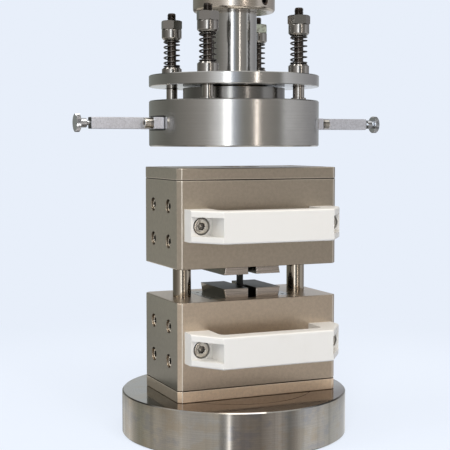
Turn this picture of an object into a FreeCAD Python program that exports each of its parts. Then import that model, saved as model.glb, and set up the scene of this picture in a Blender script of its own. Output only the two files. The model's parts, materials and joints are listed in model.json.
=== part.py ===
import FreeCAD, Part

import math
import os

import Sketcher

# Shear loading compression fixture, in millimetres.
# Origin: centre of the lower platen's underside, on the machine axis. +Z up, +X to the right of
# someone who faces the handles, -Y towards them.

V = FreeCAD.Vector
X_AXIS = V(1, 0, 0)
Y_AXIS = V(0, 1, 0)
Z_AXIS = V(0, 0, 1)
SIDES = {"left": -1, "right": 1}

# Driving dimensions, each with what it measures.
SIZES = {
    # lower platen
    "base_d": (200, "lower platen diameter"),
    "base_t": (38, "lower platen thickness"),
    "base_chamfer": (1, "lower platen edge chamfer"),
    "base_pin_d": (25, "locating pin bore under the lower platen"),
    "base_pin_depth": (18, "depth of that bore"),
    "ring_inner_d": (40, "innermost centring ring"),
    "ring_middle_d": (80, "middle centring ring"),
    "ring_outer_d": (140, "outermost centring ring"),
    "ring_w": (0.8, "width of a centring ring groove"),
    "ring_depth": (0.4, "depth of a centring ring groove"),
    # the two blocks
    "box_x": (5, "grip box stands this far right of the machine axis"),
    "box_y": (-2, "grip box stands this far behind the machine axis"),
    "block_w": (150, "block width"),
    "block_d": (84, "block depth, front to back"),
    "block_chamfer": (3.5, "chamfer on the blocks' upright edges"),
    "edge_break": (0.5, "chamfer round the top and bottom of each housing and cover plate"),
    "housing_t": (75, "housing height"),
    "cover_t": (10, "cover plate thickness"),
    "cover_hole_d": (36, "access hole in a cover plate"),
    "block_gap": (28, "distance between the two housings"),
    "cover_screw_edge": (12, "cover screw distance from the plate's edges"),
    "cover_screw_len": (16, "cover screw length under the head"),
    # wedges, their seats and the coupon
    "taper_angle": (10, "wedge angle in degrees"),
    "wedge_w": (54, "wedge depth, front to back"),
    "wedge_len": (62, "wedge height"),
    "wedge_thick": (23.5, "wedge thickness at the gauge end"),
    "wedge_out": (8, "how far a wedge stands out of its housing"),
    "wedge_chamfer": (0.8, "chamfer on the wedge's upright edges"),
    "wedge_side_gap": (0.1, "play between a wedge and the housing's front and back walls"),
    "wedge_seat_gap": (0.05, "oil gap between a wedge and its seat, measured sideways"),
    "side_wall": (35, "thickness of a housing's side walls"),
    "puller_hole_d": (3.2, "puller hole in the top of a seat"),
    "puller_depth": (8, "depth of the puller hole"),
    "puller_in": (6.5, "puller hole distance from the seat's back"),
    "puller_y": (18, "puller hole distance from the middle, front to back"),
    "seat_screw_y": (18.5, "seat screw distance from the middle, front to back"),
    "seat_screw_z": (15, "seat screw distance from the housing's mid height"),
    "seat_screw_len": (40, "seat screw length under the head"),
    "seat_screw_sink": (1.2, "how deep a seat screw head sits below the block's side"),
    "coupon_len": (110, "coupon length"),
    "coupon_w": (10, "coupon width"),
    "coupon_t": (2, "coupon thickness"),
    "tab_t": (2.45, "coupon tab thickness"),
    "grip_gap": (0.05, "gap between a tab and its wedge"),
    # guide posts and bushes
    "post_d": (16, "guide post diameter"),
    "post_edge": (19.5, "guide post distance from the block's side"),
    "post_sunk": (50, "guide post length inside the lower housing"),
    "post_up": (52, "guide post length inside the upper housing"),
    "post_chamfer": (1.5, "chamfer at the post ends"),
    "bush_d": (24, "guide bush outer diameter"),
    "bush_len": (50, "guide bush length"),
    "post_room_d": (18, "bore above the guide bush"),
    "fixed_gap": (0.02, "radial gap of a pressed or threaded pair"),
    "slide_gap": (0.04, "radial gap of a sliding pair"),
    # handles
    "handle_inset": (5.5, "distance of the handle's ends from the block's sides"),
    "handle_h": (27, "handle height"),
    "handle_out": (40, "handle reach from the block"),
    "handle_slope": (18.5, "sideways run of the handle's sloping ends"),
    "handle_bar_t": (13, "thickness of the handle's bar"),
    "handle_foot": (15, "height of the handle's screw floor from the block"),
    "handle_leg": (22, "width of a leg of the handle"),
    "handle_screw_in": (9.5, "handle screw distance from the handle's end"),
    "handle_pocket_h": (16, "height of the handle's screw pocket"),
    "handle_pocket_w": (19, "width of the handle's screw pocket"),
    "handle_round": (1.6, "rounding of the handle's outer edges"),
    "handle_gap_round": (6, "rounding of the finger gap's inner corners"),
    "handle_sink_d": (15, "counterbore for the handle screw head"),
    "handle_sink": (8.6, "depth of that counterbore"),
    "handle_screw_len": (20, "handle screw length under the head"),
    # upper platen and its spherical seat
    "platen_gap": (18, "distance from the grip box to the upper platen"),
    "platen_d": (150, "upper platen diameter"),
    "platen_t": (40, "upper platen thickness"),
    "platen_chamfer": (1, "upper platen edge chamfer"),
    "neck_d": (90, "diameter of the neck on the upper platen"),
    "flange_gap": (12, "distance from the upper platen to the flange"),
    "neck_gap": (1, "tilting gap between neck and flange"),
    "dome_rise": (7, "how far the spherical seat stands into the flange"),
    "liner_t": (1.5, "thickness of the bronze liner in the spherical seat"),
    "ball_gap": (0.1, "gap on each side of the liner"),
    "liner_hole_d": (8, "oil hole in the middle of the liner"),
    "liner_d": (56, "diameter of the liner"),
    # flange, stem and load adapter
    "flange_t": (10, "flange thickness"),
    "flange_chamfer": (0.6, "flange edge chamfer"),
    "stem_d": (40, "stem diameter"),
    "stem_len": (55, "stem length in view"),
    "stem_in": (38, "stem length inside the adapter"),
    "adapter_d": (72, "adapter diameter"),
    "adapter_len": (62, "adapter height"),
    "adapter_round": (3, "rounding of the adapter's lower edge"),
    "adapter_mouth": (1.2, "chamfer at the adapter's lower bore"),
    "adapter_thread_d": (24, "threaded hole in the adapter's top"),
    "adapter_thread_depth": (18, "depth of that hole"),
    "adapter_pin_d": (16, "cross pin diameter"),
    "adapter_pin_over": (5, "how far the cross pin stands out at each end"),
    "adapter_pin_z": (24, "cross pin height above the adapter's lower face"),
    "set_screw_d": (8, "set screw diameter"),
    "set_screw_z": (8, "set screw height above the adapter's lower face"),
    "set_screw_turn": (-66, "direction of the set screw in degrees from +X"),
    "set_screw_sink": (0.8, "how deep the set screw sits"),
    # studs, springs and what is on them
    "stud_d": (10, "stud diameter up to the bush"),
    "stud_thread_d": (8, "stud diameter above that, where it is threaded"),
    "stud_in": (15, "stud distance from the upper platen's rim"),
    "stud_sunk": (15, "stud length inside the upper platen"),
    "stud_top": (79, "stud end above the upper platen"),
    "stud_foot_d": (13, "foot collar of a stud"),
    "stud_foot_t": (2, "height of that collar"),
    "stud_hole_d": (12.9, "hole for a stud in the flange and in a bush"),
    "bush_low_d": (18, "lower bush diameter"),
    "bush_low_t": (8.5, "lower bush height"),
    "bush_step_d": (16, "step on top of the lower bush"),
    "bush_step_t": (1, "height of that step"),
    "spring_len": (24.5, "spring length"),
    "spring_d": (15, "spring outer diameter"),
    "wire_d": (1.4, "spring wire diameter"),
    "collar_d": (18, "spring collar diameter"),
    "collar_t": (9.5, "spring collar height"),
    "collar_taper": (2, "height of the collar's lower taper"),
    "collar_low_d": (14, "collar diameter at its lower end"),
    "nut_af": (17, "nut width across flats"),
    "nut_t": (8, "nut height"),
    # arms and thumb screws
    "slot_h": (12, "height of the arm slot in the upper platen's rim"),
    "slot_depth": (3.5, "depth of the slot, from the platen's rim"),
    "slot_w": (46, "length of the slot"),
    "arm_foot_w": (34, "width of an arm's foot plate"),
    "arm_foot_t": (9.5, "thickness of an arm's foot plate"),
    "arm_h": (10, "height of an arm and its foot"),
    "arm_w": (10, "width of an arm"),
    "arm_len": (51.4, "length of an arm beyond its foot"),
    "arm_screw_y": (12, "arm screw distance from the arm's middle"),
    "arm_screw_len": (20, "arm screw length under the head"),
    "washer_d": (10, "flat washer under an arm screw"),
    "washer_t": (1, "thickness of that washer"),
    "lock_washer_d": (9.2, "lock washer above the flat one"),
    "lock_washer_t": (1.3, "thickness of the lock washer"),
    "thumb_d": (4, "thumb screw thread diameter"),
    "thumb_in": (12, "thumb screw length inside the arm"),
    "thumb_neck": (3, "thumb screw neck in view"),
    "thumb_collar_d": (8, "thumb screw collar diameter"),
    "thumb_collar_t": (6, "thumb screw collar length"),
    "thumb_disc_d": (15.5, "knurled disc diameter"),
    "thumb_disc_t": (3.8, "knurled disc thickness"),
}
SPRING_TURNS = 5.5
SPRING_STEPS = 12
WIRE_SIDES = 6
STUDS = {1: (-1, -1), 2: (1, -1), 3: (1, 1), 4: (-1, 1)}

# Socket-head cap screws by thread: shank, head and socket across flats.
CAP_SCREWS = {
    "m5": {"shank_d": 5, "head_d": 8.5, "head_t": 5, "socket_af": 4},
    "m6": {"shank_d": 6, "head_d": 10, "head_t": 6, "socket_af": 5},
    "m8": {"shank_d": 8, "head_d": 13, "head_t": 8, "socket_af": 6},
}
HEAD_ROOM = 1.0
SHANK_ROOM = 0.6
SOCKET_SHARE = 0.5


class Dim:
    """A length or angle with its value and the sheet expression that gives it."""

    def __init__(self, value, text):
        self.value = value
        self.text = text

    def _join(self, other, sign, value, swap=False):
        other_text = other.text if isinstance(other, Dim) else repr(other)
        first, second = (other_text, self.text) if swap else (self.text, other_text)
        return Dim(value, "(%s %s %s)" % (first, sign, second))

    def __add__(self, other):
        return self._join(other, "+", self.value + number(other))

    def __radd__(self, other):
        return self._join(other, "+", number(other) + self.value, True)

    def __sub__(self, other):
        return self._join(other, "-", self.value - number(other))

    def __rsub__(self, other):
        return self._join(other, "-", number(other) - self.value, True)

    def __mul__(self, other):
        return self._join(other, "*", self.value * number(other))

    def __rmul__(self, other):
        return self._join(other, "*", number(other) * self.value, True)

    def __truediv__(self, other):
        return self._join(other, "/", self.value / number(other))

    def __neg__(self):
        return Dim(-self.value, "(0 - %s)" % self.text)


def number(size):
    return size.value if isinstance(size, Dim) else size


def tangent(angle):
    return Dim(math.tan(math.radians(angle.value)), "tan(%s)" % angle.text)


def root(size):
    return Dim(math.sqrt(size.value), "sqrt(%s)" % size.text)


class Sizes:
    """The spreadsheet's cells by name, as Dim values."""

    def __init__(self, sheet, cells):
        for row, (name, (value, note)) in enumerate(cells.items(), 1):
            sheet.set("A%d" % row, str(value))
            sheet.setAlias("A%d" % row, name)
            sheet.set("B%d" % row, note)
            setattr(self, name, Dim(value, "Sizes.%s" % name))


doc = FreeCAD.newDocument("compression_fixture")
s = Sizes(doc.addObject("Spreadsheet::Sheet", "Sizes"), SIZES)
for thread, sizes in CAP_SCREWS.items():
    sheet_name = "Screw_%s" % thread
    sheet = doc.addObject("Spreadsheet::Sheet", sheet_name)
    for row, (size_name, value) in enumerate(sizes.items(), 1):
        sheet.set("A%d" % row, str(value))
        sheet.setAlias("A%d" % row, size_name)
        sizes[size_name] = Dim(value, "%s.%s" % (sheet_name, size_name))
doc.recompute()
nodes = []

# Levels of the assembly, all above the floor.
box_z = s.base_t
lower_housing_z = box_z + s.cover_t
lower_top_z = lower_housing_z + s.housing_t
upper_housing_z = lower_top_z + s.block_gap
upper_cover_z = upper_housing_z + s.housing_t
box_top_z = upper_cover_z + s.cover_t
gauge_z = lower_top_z + s.block_gap / 2
platen_z = box_top_z + s.platen_gap
platen_top_z = platen_z + s.platen_t
flange_z = platen_top_z + s.flange_gap
flange_top_z = flange_z + s.flange_t
dome_r = s.platen_t + s.flange_gap + s.dome_rise
adapter_z = flange_top_z + s.stem_len
cavity_w = s.wedge_w + 2 * s.wedge_side_gap
seat_back = s.block_w / 2 - s.side_wall
cover_screw_x = s.block_w / 2 - s.cover_screw_edge
cover_screw_y = s.block_d / 2 - s.cover_screw_edge
post_x = s.block_w / 2 - s.post_edge
handle_end = s.block_w / 2 - s.handle_inset
handle_screw_x = handle_end - s.handle_screw_in
stud_spread = (s.platen_d / 2 - s.stud_in) / math.sqrt(2)
slot_floor = s.platen_d / 2 - s.slot_depth
arm_foot_end = slot_floor + s.arm_foot_t
arm_screw_seat = arm_foot_end + s.washer_t + s.lock_washer_t
arm_end = arm_foot_end + s.arm_len
wedge_inner_x = s.coupon_t / 2 + s.tab_t + s.grip_gap
wedge_outer_x = wedge_inner_x + s.wedge_thick
slope = tangent(s.taper_angle)


def bind(obj, prop, size):
    """Sets a property, and ties it to the sheet where the size came from there."""
    if isinstance(size, Dim):
        obj.setExpression(prop, size.text)
    else:
        setattr(obj, prop, size)


def place(obj, x=0, y=0, z=0, axis=Z_AXIS, angle=0):
    obj.Placement = FreeCAD.Placement(V(number(x), number(y), number(z)), FreeCAD.Rotation(axis, angle))
    for name, size in (("x", x), ("y", y), ("z", z)):
        if isinstance(size, Dim):
            obj.setExpression(".Placement.Base." + name, size.text)


def new_body(label):
    body = doc.addObject("PartDesign::Body", label)
    body.Label = label
    return body


def keep(obj, label):
    """Names a finished sub-part, whose file takes this name."""
    obj.Label = label
    nodes.append(obj)
    return obj


def new_sketch(body, plane="XY_Plane", name="Sketch", offset=None):
    sketch = body.newObject("Sketcher::SketchObject", name)
    support = [f for f in body.Origin.OriginFeatures if f.Role == plane][0]
    sketch.AttachmentSupport = [(support, "")]
    sketch.MapMode = "FlatFace"
    if offset is not None:
        sketch.setExpression(".AttachmentOffset.Base.z", offset.text)
        sketch.AttachmentOffset = FreeCAD.Placement(V(0, 0, offset.value), FreeCAD.Rotation())
    return sketch


def hold(sketch, kind, geometry, end, size):
    """Fixes one coordinate of a sketch point, by a size or by an axis where it is zero."""
    if number(size) == 0:
        axis = -2 if kind == "DistanceX" else -1
        sketch.addConstraint(Sketcher.Constraint("PointOnObject", geometry, end, axis))
        return
    index = sketch.addConstraint(Sketcher.Constraint(kind, -1, 1, geometry, end, number(size)))
    if isinstance(size, Dim):
        sketch.setExpression("Constraints[%d]" % index, size.text)


def hold_point(sketch, geometry, end, x, y):
    hold(sketch, "DistanceX", geometry, end, x)
    hold(sketch, "DistanceY", geometry, end, y)


def outline(sketch, points):
    """Draws a closed outline of straight lines through the given points."""
    first = sketch.GeometryCount
    count = len(points)
    for i, (x, y) in enumerate(points):
        x2, y2 = points[(i + 1) % count]
        start = V(number(x), number(y), 0)
        sketch.addGeometry(Part.LineSegment(start, V(number(x2), number(y2), 0)))
    for i in range(count):
        after = first + (i + 1) % count
        sketch.addConstraint(Sketcher.Constraint("Coincident", first + i, 2, after, 1))
    for i, (x, y) in enumerate(points):
        hold_point(sketch, first + i, 1, x, y)


def circle(sketch, x, y, diameter):
    index = sketch.addGeometry(Part.Circle(V(number(x), number(y), 0), Z_AXIS, number(diameter) / 2))
    hold_point(sketch, index, 3, x, y)
    spec = Sketcher.Constraint("Diameter", index, number(diameter))
    position = sketch.addConstraint(spec)
    if isinstance(diameter, Dim):
        sketch.setExpression("Constraints[%d]" % position, diameter.text)


def box_outline(sketch, x_low, x_high, y_low, y_high):
    outline(sketch, [(x_low, y_low), (x_high, y_low), (x_high, y_high), (x_low, y_high)])


def pad(body, sketch, length, name="Pad", both_ways=False):
    feature = body.newObject("PartDesign::Pad", name)
    feature.Profile = sketch
    feature.SideType = "Symmetric" if both_ways else "One side"
    bind(feature, "Length", length)
    doc.recompute()
    return feature


def pocket(body, sketch, depth, name="Pocket", up=False, both_ways=False):
    """Cuts a sketch into the body, downwards unless up is set, and checks that it cut."""
    before = body.Shape.Volume
    feature = body.newObject("PartDesign::Pocket", name)
    feature.Profile = sketch
    feature.SideType = "Symmetric" if both_ways else "One side"
    feature.Reversed = up
    bind(feature, "Length", depth)
    doc.recompute()
    if body.Shape.Volume >= before - 1e-6:
        raise RuntimeError("%s: %s cuts nothing" % (body.Label, name))
    return feature


def turn(body, sketch, name="Turned"):
    """Revolves a sketch of the XZ plane about its upright axis."""
    feature = body.newObject("PartDesign::Revolution", name)
    feature.Profile = sketch
    feature.ReferenceAxis = (sketch, ["V_Axis"])
    feature.Angle = 360
    doc.recompute()
    return feature


def edges_where(feature, test):
    return ["Edge%d" % (i + 1) for i, edge in enumerate(feature.Shape.Edges) if test(edge)]


def dress(body, kind, base, edges, size, name):
    """Adds a Chamfer or Fillet of one size to the named edges."""
    feature = body.newObject("PartDesign::" + kind, name)
    feature.Base = (base, edges)
    bind(feature, "Size" if kind == "Chamfer" else "Radius", size)
    doc.recompute()
    return feature


def is_upright(edge, corner_x, corner_y):
    """True for a straight edge along Z at the four corners (+-x, +-y)."""
    ends = [v.Point for v in edge.Vertexes]
    if len(ends) != 2 or abs(abs(ends[0].z - ends[1].z) - edge.Length) > 1e-6:
        return False
    return all(abs(abs(p.x) - corner_x) < 1e-3 and abs(abs(p.y) - corner_y) < 1e-3 for p in ends)


def is_level(edge):
    """True for an edge that lies in a horizontal plane."""
    return edge.BoundBox.ZLength < 1e-6


def cylinder(name, diameter, height, x=0, y=0, z=0, axis=Z_AXIS, angle=0):
    solid = doc.addObject("Part::Cylinder", name)
    bind(solid, "Radius", diameter / 2)
    bind(solid, "Height", height)
    place(solid, x, y, z, axis, angle)
    return solid


def cut(name, base, tool):
    result = doc.addObject("Part::Cut", name)
    result.Base = base
    result.Tool = tool
    return result


def fuse(name, pieces):
    result = doc.addObject("Part::MultiFuse", name)
    result.Shapes = pieces
    return result


def group(label, pieces):
    """Puts several separate solids into one sub-part."""
    result = doc.addObject("Part::Compound", label)
    result.Links = pieces
    return keep(result, label)


def cap_screw(name, thread, length, x, y, z, axis=Z_AXIS, angle=0):
    """A socket-head cap screw. Its place is the head's seat, and its head points along +Z unturned."""
    m = CAP_SCREWS[thread]
    head = cylinder(name + "_head", m["head_d"], m["head_t"])
    shank = cylinder(name + "_shank", m["shank_d"], length, z=-length)
    blank = fuse(name + "_blank", [head, shank])
    socket = doc.addObject("Part::Prism", name + "_socket")
    socket.Polygon = 6
    bind(socket, "Circumradius", m["socket_af"] / math.sqrt(3))
    bind(socket, "Height", m["head_t"])
    place(socket, z=m["head_t"] * SOCKET_SHARE)
    screw = cut(name, blank, socket)
    place(screw, x, y, z, axis, angle)
    return screw


def lower_platen():
    body = new_body("lower_platen")
    sketch = new_sketch(body, "XZ_Plane")
    r, c = s.base_d / 2, s.base_chamfer
    outline(sketch, [(0, 0), (r - c, 0), (r, c), (r, s.base_t - c), (r - c, s.base_t), (0, s.base_t)])
    turn(body, sketch)
    bore = new_sketch(body, name="PinBore")
    circle(bore, 0, 0, s.base_pin_d)
    pocket(body, bore, s.base_pin_depth, "PinBorePocket", up=True)
    for name, ring_d in (("Inner", s.ring_inner_d), ("Middle", s.ring_middle_d), ("Outer", s.ring_outer_d)):
        ring = new_sketch(body, name=name + "Ring", offset=s.base_t)
        circle(ring, 0, 0, ring_d + s.ring_w)
        circle(ring, 0, 0, ring_d - s.ring_w)
        pocket(body, ring, s.ring_depth, name + "RingGroove")
    return keep(body, "lower_platen")


def block_blank(label, height, z):
    """A block-sized plate of the given height with all its outer edges chamfered."""
    body = new_body(label)
    sketch = new_sketch(body)
    w, d = s.block_w / 2, s.block_d / 2
    box_outline(sketch, -w, w, -d, d)
    base = pad(body, sketch, height)
    corners = edges_where(base, lambda e: is_upright(e, w.value, d.value))
    upright = dress(body, "Chamfer", base, corners, s.block_chamfer, "UprightChamfer")
    rims = edges_where(upright, is_level)
    dress(body, "Chamfer", upright, rims, s.edge_break, "EdgeBreak")
    place(body, s.box_x, s.box_y, z)
    return body


def corners_of(x, y):
    return [(x * sx, y * sy) for sx in (-1, 1) for sy in (-1, 1)]


def cover_plate(label, z, heads_up):
    """A cover plate with its access hole and counterbored screw holes; heads_up faces them up."""
    body = block_blank(label, s.cover_t, z)
    hole = new_sketch(body, name="AccessHole")
    circle(hole, 0, 0, s.cover_hole_d)
    pocket(body, hole, s.cover_t, "AccessHolePocket", up=True)
    m6 = CAP_SCREWS["m6"]
    holes = new_sketch(body, name="ScrewHoles")
    for x, y in corners_of(cover_screw_x, cover_screw_y):
        circle(holes, x, y, m6["shank_d"] + SHANK_ROOM)
    pocket(body, holes, s.cover_t, "ScrewHolesPocket", up=True)
    sinks = new_sketch(body, name="ScrewSinks", offset=s.cover_t * (1 if heads_up else 0))
    for x, y in corners_of(cover_screw_x, cover_screw_y):
        circle(sinks, x, y, m6["head_d"] + HEAD_ROOM)
    pocket(body, sinks, m6["head_t"] + SHANK_ROOM, "ScrewSinksPocket", up=not heads_up)
    return keep(body, label)


def cover_screws(label, z, heads_up):
    """The four screws of a cover plate whose outer face is at z."""
    sink = CAP_SCREWS["m6"]["head_t"] + SHANK_ROOM
    seat = z - sink if heads_up else z + sink
    turned = 0 if heads_up else 180
    screws = []
    for i, (x, y) in enumerate(corners_of(cover_screw_x, cover_screw_y)):
        name = "%s_%d" % (label, i)
        place_x, place_y = s.box_x + x, s.box_y + y
        screws.append(cap_screw(name, "m6", s.cover_screw_len, place_x, place_y, seat, X_AXIS, turned))
    return group(label, screws)


def cut_cavity(body):
    """The rectangular through cavity that holds the wedges and their seats."""
    sketch = new_sketch(body, name="Cavity")
    half = cavity_w / 2
    box_outline(sketch, -seat_back, seat_back, -half, half)
    pocket(body, sketch, s.housing_t, "CavityPocket", up=True)


def cut_cover_threads(body, at_top):
    """Threaded holes for the cover screws, from the housing's top or bottom face."""
    m6 = CAP_SCREWS["m6"]
    sketch = new_sketch(body, name="CoverThreads", offset=s.housing_t * (1 if at_top else 0))
    for x, y in corners_of(cover_screw_x, cover_screw_y):
        circle(sketch, x, y, m6["shank_d"] + 2 * s.fixed_gap)
    pocket(body, sketch, s.cover_screw_len, "CoverThreadsPocket", up=not at_top)


def cut_seat_screw_holes(body):
    """Counterbored holes through both side walls for the seat screws."""
    m6 = CAP_SCREWS["m6"]
    middle = s.housing_t / 2
    places = [(s.seat_screw_y * sy, middle + s.seat_screw_z * sz) for sy in (-1, 1) for sz in (-1, 1)]
    for side, sign in SIDES.items():
        holes = new_sketch(body, "YZ_Plane", side.title() + "SeatHoles", s.block_w / 2 * sign)
        sinks = new_sketch(body, "YZ_Plane", side.title() + "SeatSinks", s.block_w / 2 * sign)
        for y, z in places:
            circle(holes, y, z, m6["shank_d"] + SHANK_ROOM)
            circle(sinks, y, z, m6["head_d"] + 2 * HEAD_ROOM)
        inwards = sign < 0
        pocket(body, holes, s.block_w / 2 - seat_back + 1, side.title() + "SeatHolesPocket", inwards)
        sink = m6["head_t"] + s.seat_screw_sink
        pocket(body, sinks, sink, side.title() + "SeatSinksPocket", inwards)


def cut_handle_threads(body):
    """Blind threaded holes in the front wall for the handle's screws."""
    m8 = CAP_SCREWS["m8"]
    sketch = new_sketch(body, "XZ_Plane", "HandleThreads", s.block_d / 2)
    for sign in SIDES.values():
        circle(sketch, handle_screw_x * sign, s.housing_t / 2, m8["shank_d"] + 2 * s.fixed_gap)
    depth = s.handle_screw_len - (s.handle_foot - s.handle_sink) + 1
    pocket(body, sketch, depth, "HandleThreadsPocket")


def cut_post_holes(body, diameter, depth, z, up, name):
    sketch = new_sketch(body, name=name, offset=z)
    for sign in SIDES.values():
        circle(sketch, post_x * sign, 0, diameter)
    pocket(body, sketch, depth, name + "Pocket", up)


def lower_housing():
    body = block_blank("lower_housing", s.housing_t, lower_housing_z)
    cut_cavity(body)
    cut_cover_threads(body, False)
    cut_seat_screw_holes(body)
    cut_handle_threads(body)
    cut_post_holes(body, s.post_d + 2 * s.fixed_gap, s.post_sunk, s.housing_t, False, "PostHoles")
    return keep(body, "lower_housing")


def upper_housing():
    body = block_blank("upper_housing", s.housing_t, upper_housing_z)
    cut_cavity(body)
    cut_cover_threads(body, True)
    cut_seat_screw_holes(body)
    cut_handle_threads(body)
    cut_post_holes(body, s.post_room_d, s.housing_t, s.housing_t, False, "PostRoom")
    cut_post_holes(body, s.bush_d + 2 * s.fixed_gap, s.bush_len, s.housing_t * 0, True, "BushHoles")
    return keep(body, "upper_housing")


def seat(label, side, upper):
    """A wedge seat: a plate with a sloping inner face, which the side screws hold."""
    body = new_body(label)
    sketch = new_sketch(body, "XZ_Plane")
    face_x = wedge_outer_x + s.wedge_seat_gap
    mouth = face_x - s.wedge_out * slope
    deep = mouth - s.housing_t * slope
    outline(sketch, [(deep, 0), (seat_back, 0), (seat_back, s.housing_t), (mouth, s.housing_t)])
    pad(body, sketch, cavity_w, both_ways=True)
    cut_seat_threads(body)
    puller = new_sketch(body, name="Pullers", offset=s.housing_t)
    for sy in (-1, 1):
        circle(puller, seat_back - s.puller_in, s.puller_y * sy, s.puller_hole_d)
    pocket(body, puller, s.puller_depth, "PullersPocket")
    return stand_in_housing(body, label, side, upper)


def cut_seat_threads(body):
    """Threaded holes in a seat's back for the side screws."""
    m6 = CAP_SCREWS["m6"]
    head_seat = s.block_w / 2 - m6["head_t"] - s.seat_screw_sink
    reach = seat_back - (head_seat - s.seat_screw_len)
    threads = new_sketch(body, "YZ_Plane", "Threads", seat_back)
    for sy in (-1, 1):
        for sz in (-1, 1):
            z = s.housing_t / 2 + s.seat_screw_z * sz
            circle(threads, s.seat_screw_y * sy, z, m6["shank_d"] + 2 * s.fixed_gap)
    pocket(body, threads, reach + 1, "ThreadsPocket")


def stand_in_housing(body, label, side, upper):
    """Places a piece drawn for the lower right corner: turned about for the left, over for the top."""
    level = upper_housing_z + s.housing_t if upper else lower_housing_z
    if upper:
        turned = FreeCAD.Rotation(X_AXIS, 180)
    else:
        turned = FreeCAD.Rotation()
    if side == "left":
        turned = FreeCAD.Rotation(Z_AXIS, 180).multiply(turned)
    place(body, s.box_x, s.box_y, level, turned.Axis, math.degrees(turned.Angle))
    return keep(body, label)


def wedge(label, side, upper):
    """A gripping wedge: upright inner face, sloping outer face, thick at the gauge end."""
    body = new_body(label)
    sketch = new_sketch(body, "XZ_Plane")
    top = s.housing_t + s.wedge_out
    low = top - s.wedge_len
    foot_x = wedge_outer_x - s.wedge_len * slope
    outline(sketch, [(wedge_inner_x, low), (foot_x, low), (wedge_outer_x, top), (wedge_inner_x, top)])
    base = pad(body, sketch, s.wedge_w, both_ways=True)
    half = s.wedge_w.value / 2
    long_edges = edges_where(base, lambda e: is_long_edge(e, half))
    dress(body, "Chamfer", base, long_edges, s.wedge_chamfer, "LongChamfer")
    return stand_in_housing(body, label, side, upper)


def is_long_edge(edge, half_width):
    """True for a wedge's four edges between its ends, upright or sloping."""
    ends = [v.Point for v in edge.Vertexes]
    if len(ends) != 2 or abs(ends[0].z - ends[1].z) < 1:
        return False
    return all(abs(abs(p.y) - half_width) < 1e-3 for p in ends)


def seat_screws(label, z):
    """Eight screws, four through each side wall of the housing whose lower face is at z."""
    m6 = CAP_SCREWS["m6"]
    head_seat = s.block_w / 2 - m6["head_t"] - s.seat_screw_sink
    screws = []
    for side, sign in SIDES.items():
        for sy in (-1, 1):
            for sz in (-1, 1):
                name = "%s_%d" % (label, len(screws))
                y = s.box_y + s.seat_screw_y * sy
                height = z + s.housing_t / 2 + s.seat_screw_z * sz
                x = s.box_x + head_seat * sign
                screws.append(cap_screw(name, "m6", s.seat_screw_len, x, y, height, Y_AXIS, 90 * sign))
    return group(label, screws)


def guide_post(label, sign):
    body = new_body(label)
    length = s.post_sunk + s.block_gap + s.post_up
    sketch = new_sketch(body, "XZ_Plane")
    r, c = s.post_d / 2, s.post_chamfer
    outline(sketch, [(0, 0), (r - c, 0), (r, c), (r, length - c), (r - c, length), (0, length)])
    turn(body, sketch)
    place(body, s.box_x + post_x * sign, s.box_y, lower_top_z - s.post_sunk)
    return keep(body, label)


def guide_bush(label, sign):
    body = new_body(label)
    sketch = new_sketch(body)
    circle(sketch, 0, 0, s.bush_d)
    circle(sketch, 0, 0, s.post_d + 2 * s.slide_gap)
    pad(body, sketch, s.bush_len)
    place(body, s.box_x + post_x * sign, s.box_y, upper_housing_z)
    return keep(body, label)


def coupon():
    strip = doc.addObject("Part::Box", "coupon")
    bind(strip, "Length", s.coupon_t)
    bind(strip, "Width", s.coupon_w)
    bind(strip, "Height", s.coupon_len)
    x = s.box_x - s.coupon_t / 2
    place(strip, x, s.box_y - s.coupon_w / 2, gauge_z - s.coupon_len / 2)
    return keep(strip, "coupon")


def coupon_tabs():
    """Four tabs, which end level with the wedges' gauge ends."""
    gauge = s.block_gap / 2 - s.wedge_out
    length = s.coupon_len / 2 - gauge
    tabs = []
    for sign in SIDES.values():
        for z in (gauge_z + gauge, gauge_z - gauge - length):
            tab = doc.addObject("Part::Box", "coupon_tab_%d" % len(tabs))
            bind(tab, "Length", s.tab_t)
            bind(tab, "Width", s.coupon_w)
            bind(tab, "Height", length)
            inner = s.coupon_t / 2 if sign > 0 else -s.coupon_t / 2 - s.tab_t
            place(tab, s.box_x + inner, s.box_y - s.coupon_w / 2, z)
            tabs.append(tab)
    return group("coupon_tabs", tabs)


def handle_outer(body):
    """The handle's solid shape: straight feet, then sloping ends up to the flat front."""
    sketch = new_sketch(body)
    end, bar = handle_end, handle_end - s.handle_slope
    points = [(-end, 0), (end, 0), (end, s.handle_foot), (bar, s.handle_out)]
    outline(sketch, points + [(-bar, s.handle_out), (-end, s.handle_foot)])
    return pad(body, sketch, s.handle_h, both_ways=True)


def is_front_edge(edge, foot):
    """True for the handle's edges on and in front of the screw floor."""
    return all(v.Point.y > foot - 1e-3 for v in edge.Vertexes)


def handle(label, z):
    """A bridge handle whose mid height is at z, drawn reaching along +Y and turned to the front."""
    body = new_body(label)
    base = handle_outer(body)
    edges = edges_where(base, lambda e: is_front_edge(e, s.handle_foot.value))
    dress(body, "Fillet", base, edges, s.handle_round, "OuterRound")
    gap = new_sketch(body, name="FingerGap")
    half, deep = handle_end - s.handle_leg, s.handle_out - s.handle_bar_t
    box_outline(gap, -half, half, 0, deep)
    feature = pocket(body, gap, s.handle_h + 2, "FingerGapPocket", both_ways=True)
    inner = edges_where(feature, lambda e: is_upright(e, half.value, deep.value))
    dress(body, "Fillet", feature, inner, s.handle_gap_round, "FingerGapRound")
    cut_handle_ends(body)
    place(body, s.box_x, s.box_y - s.block_d / 2, z, Z_AXIS, 180)
    return keep(body, label)


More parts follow.
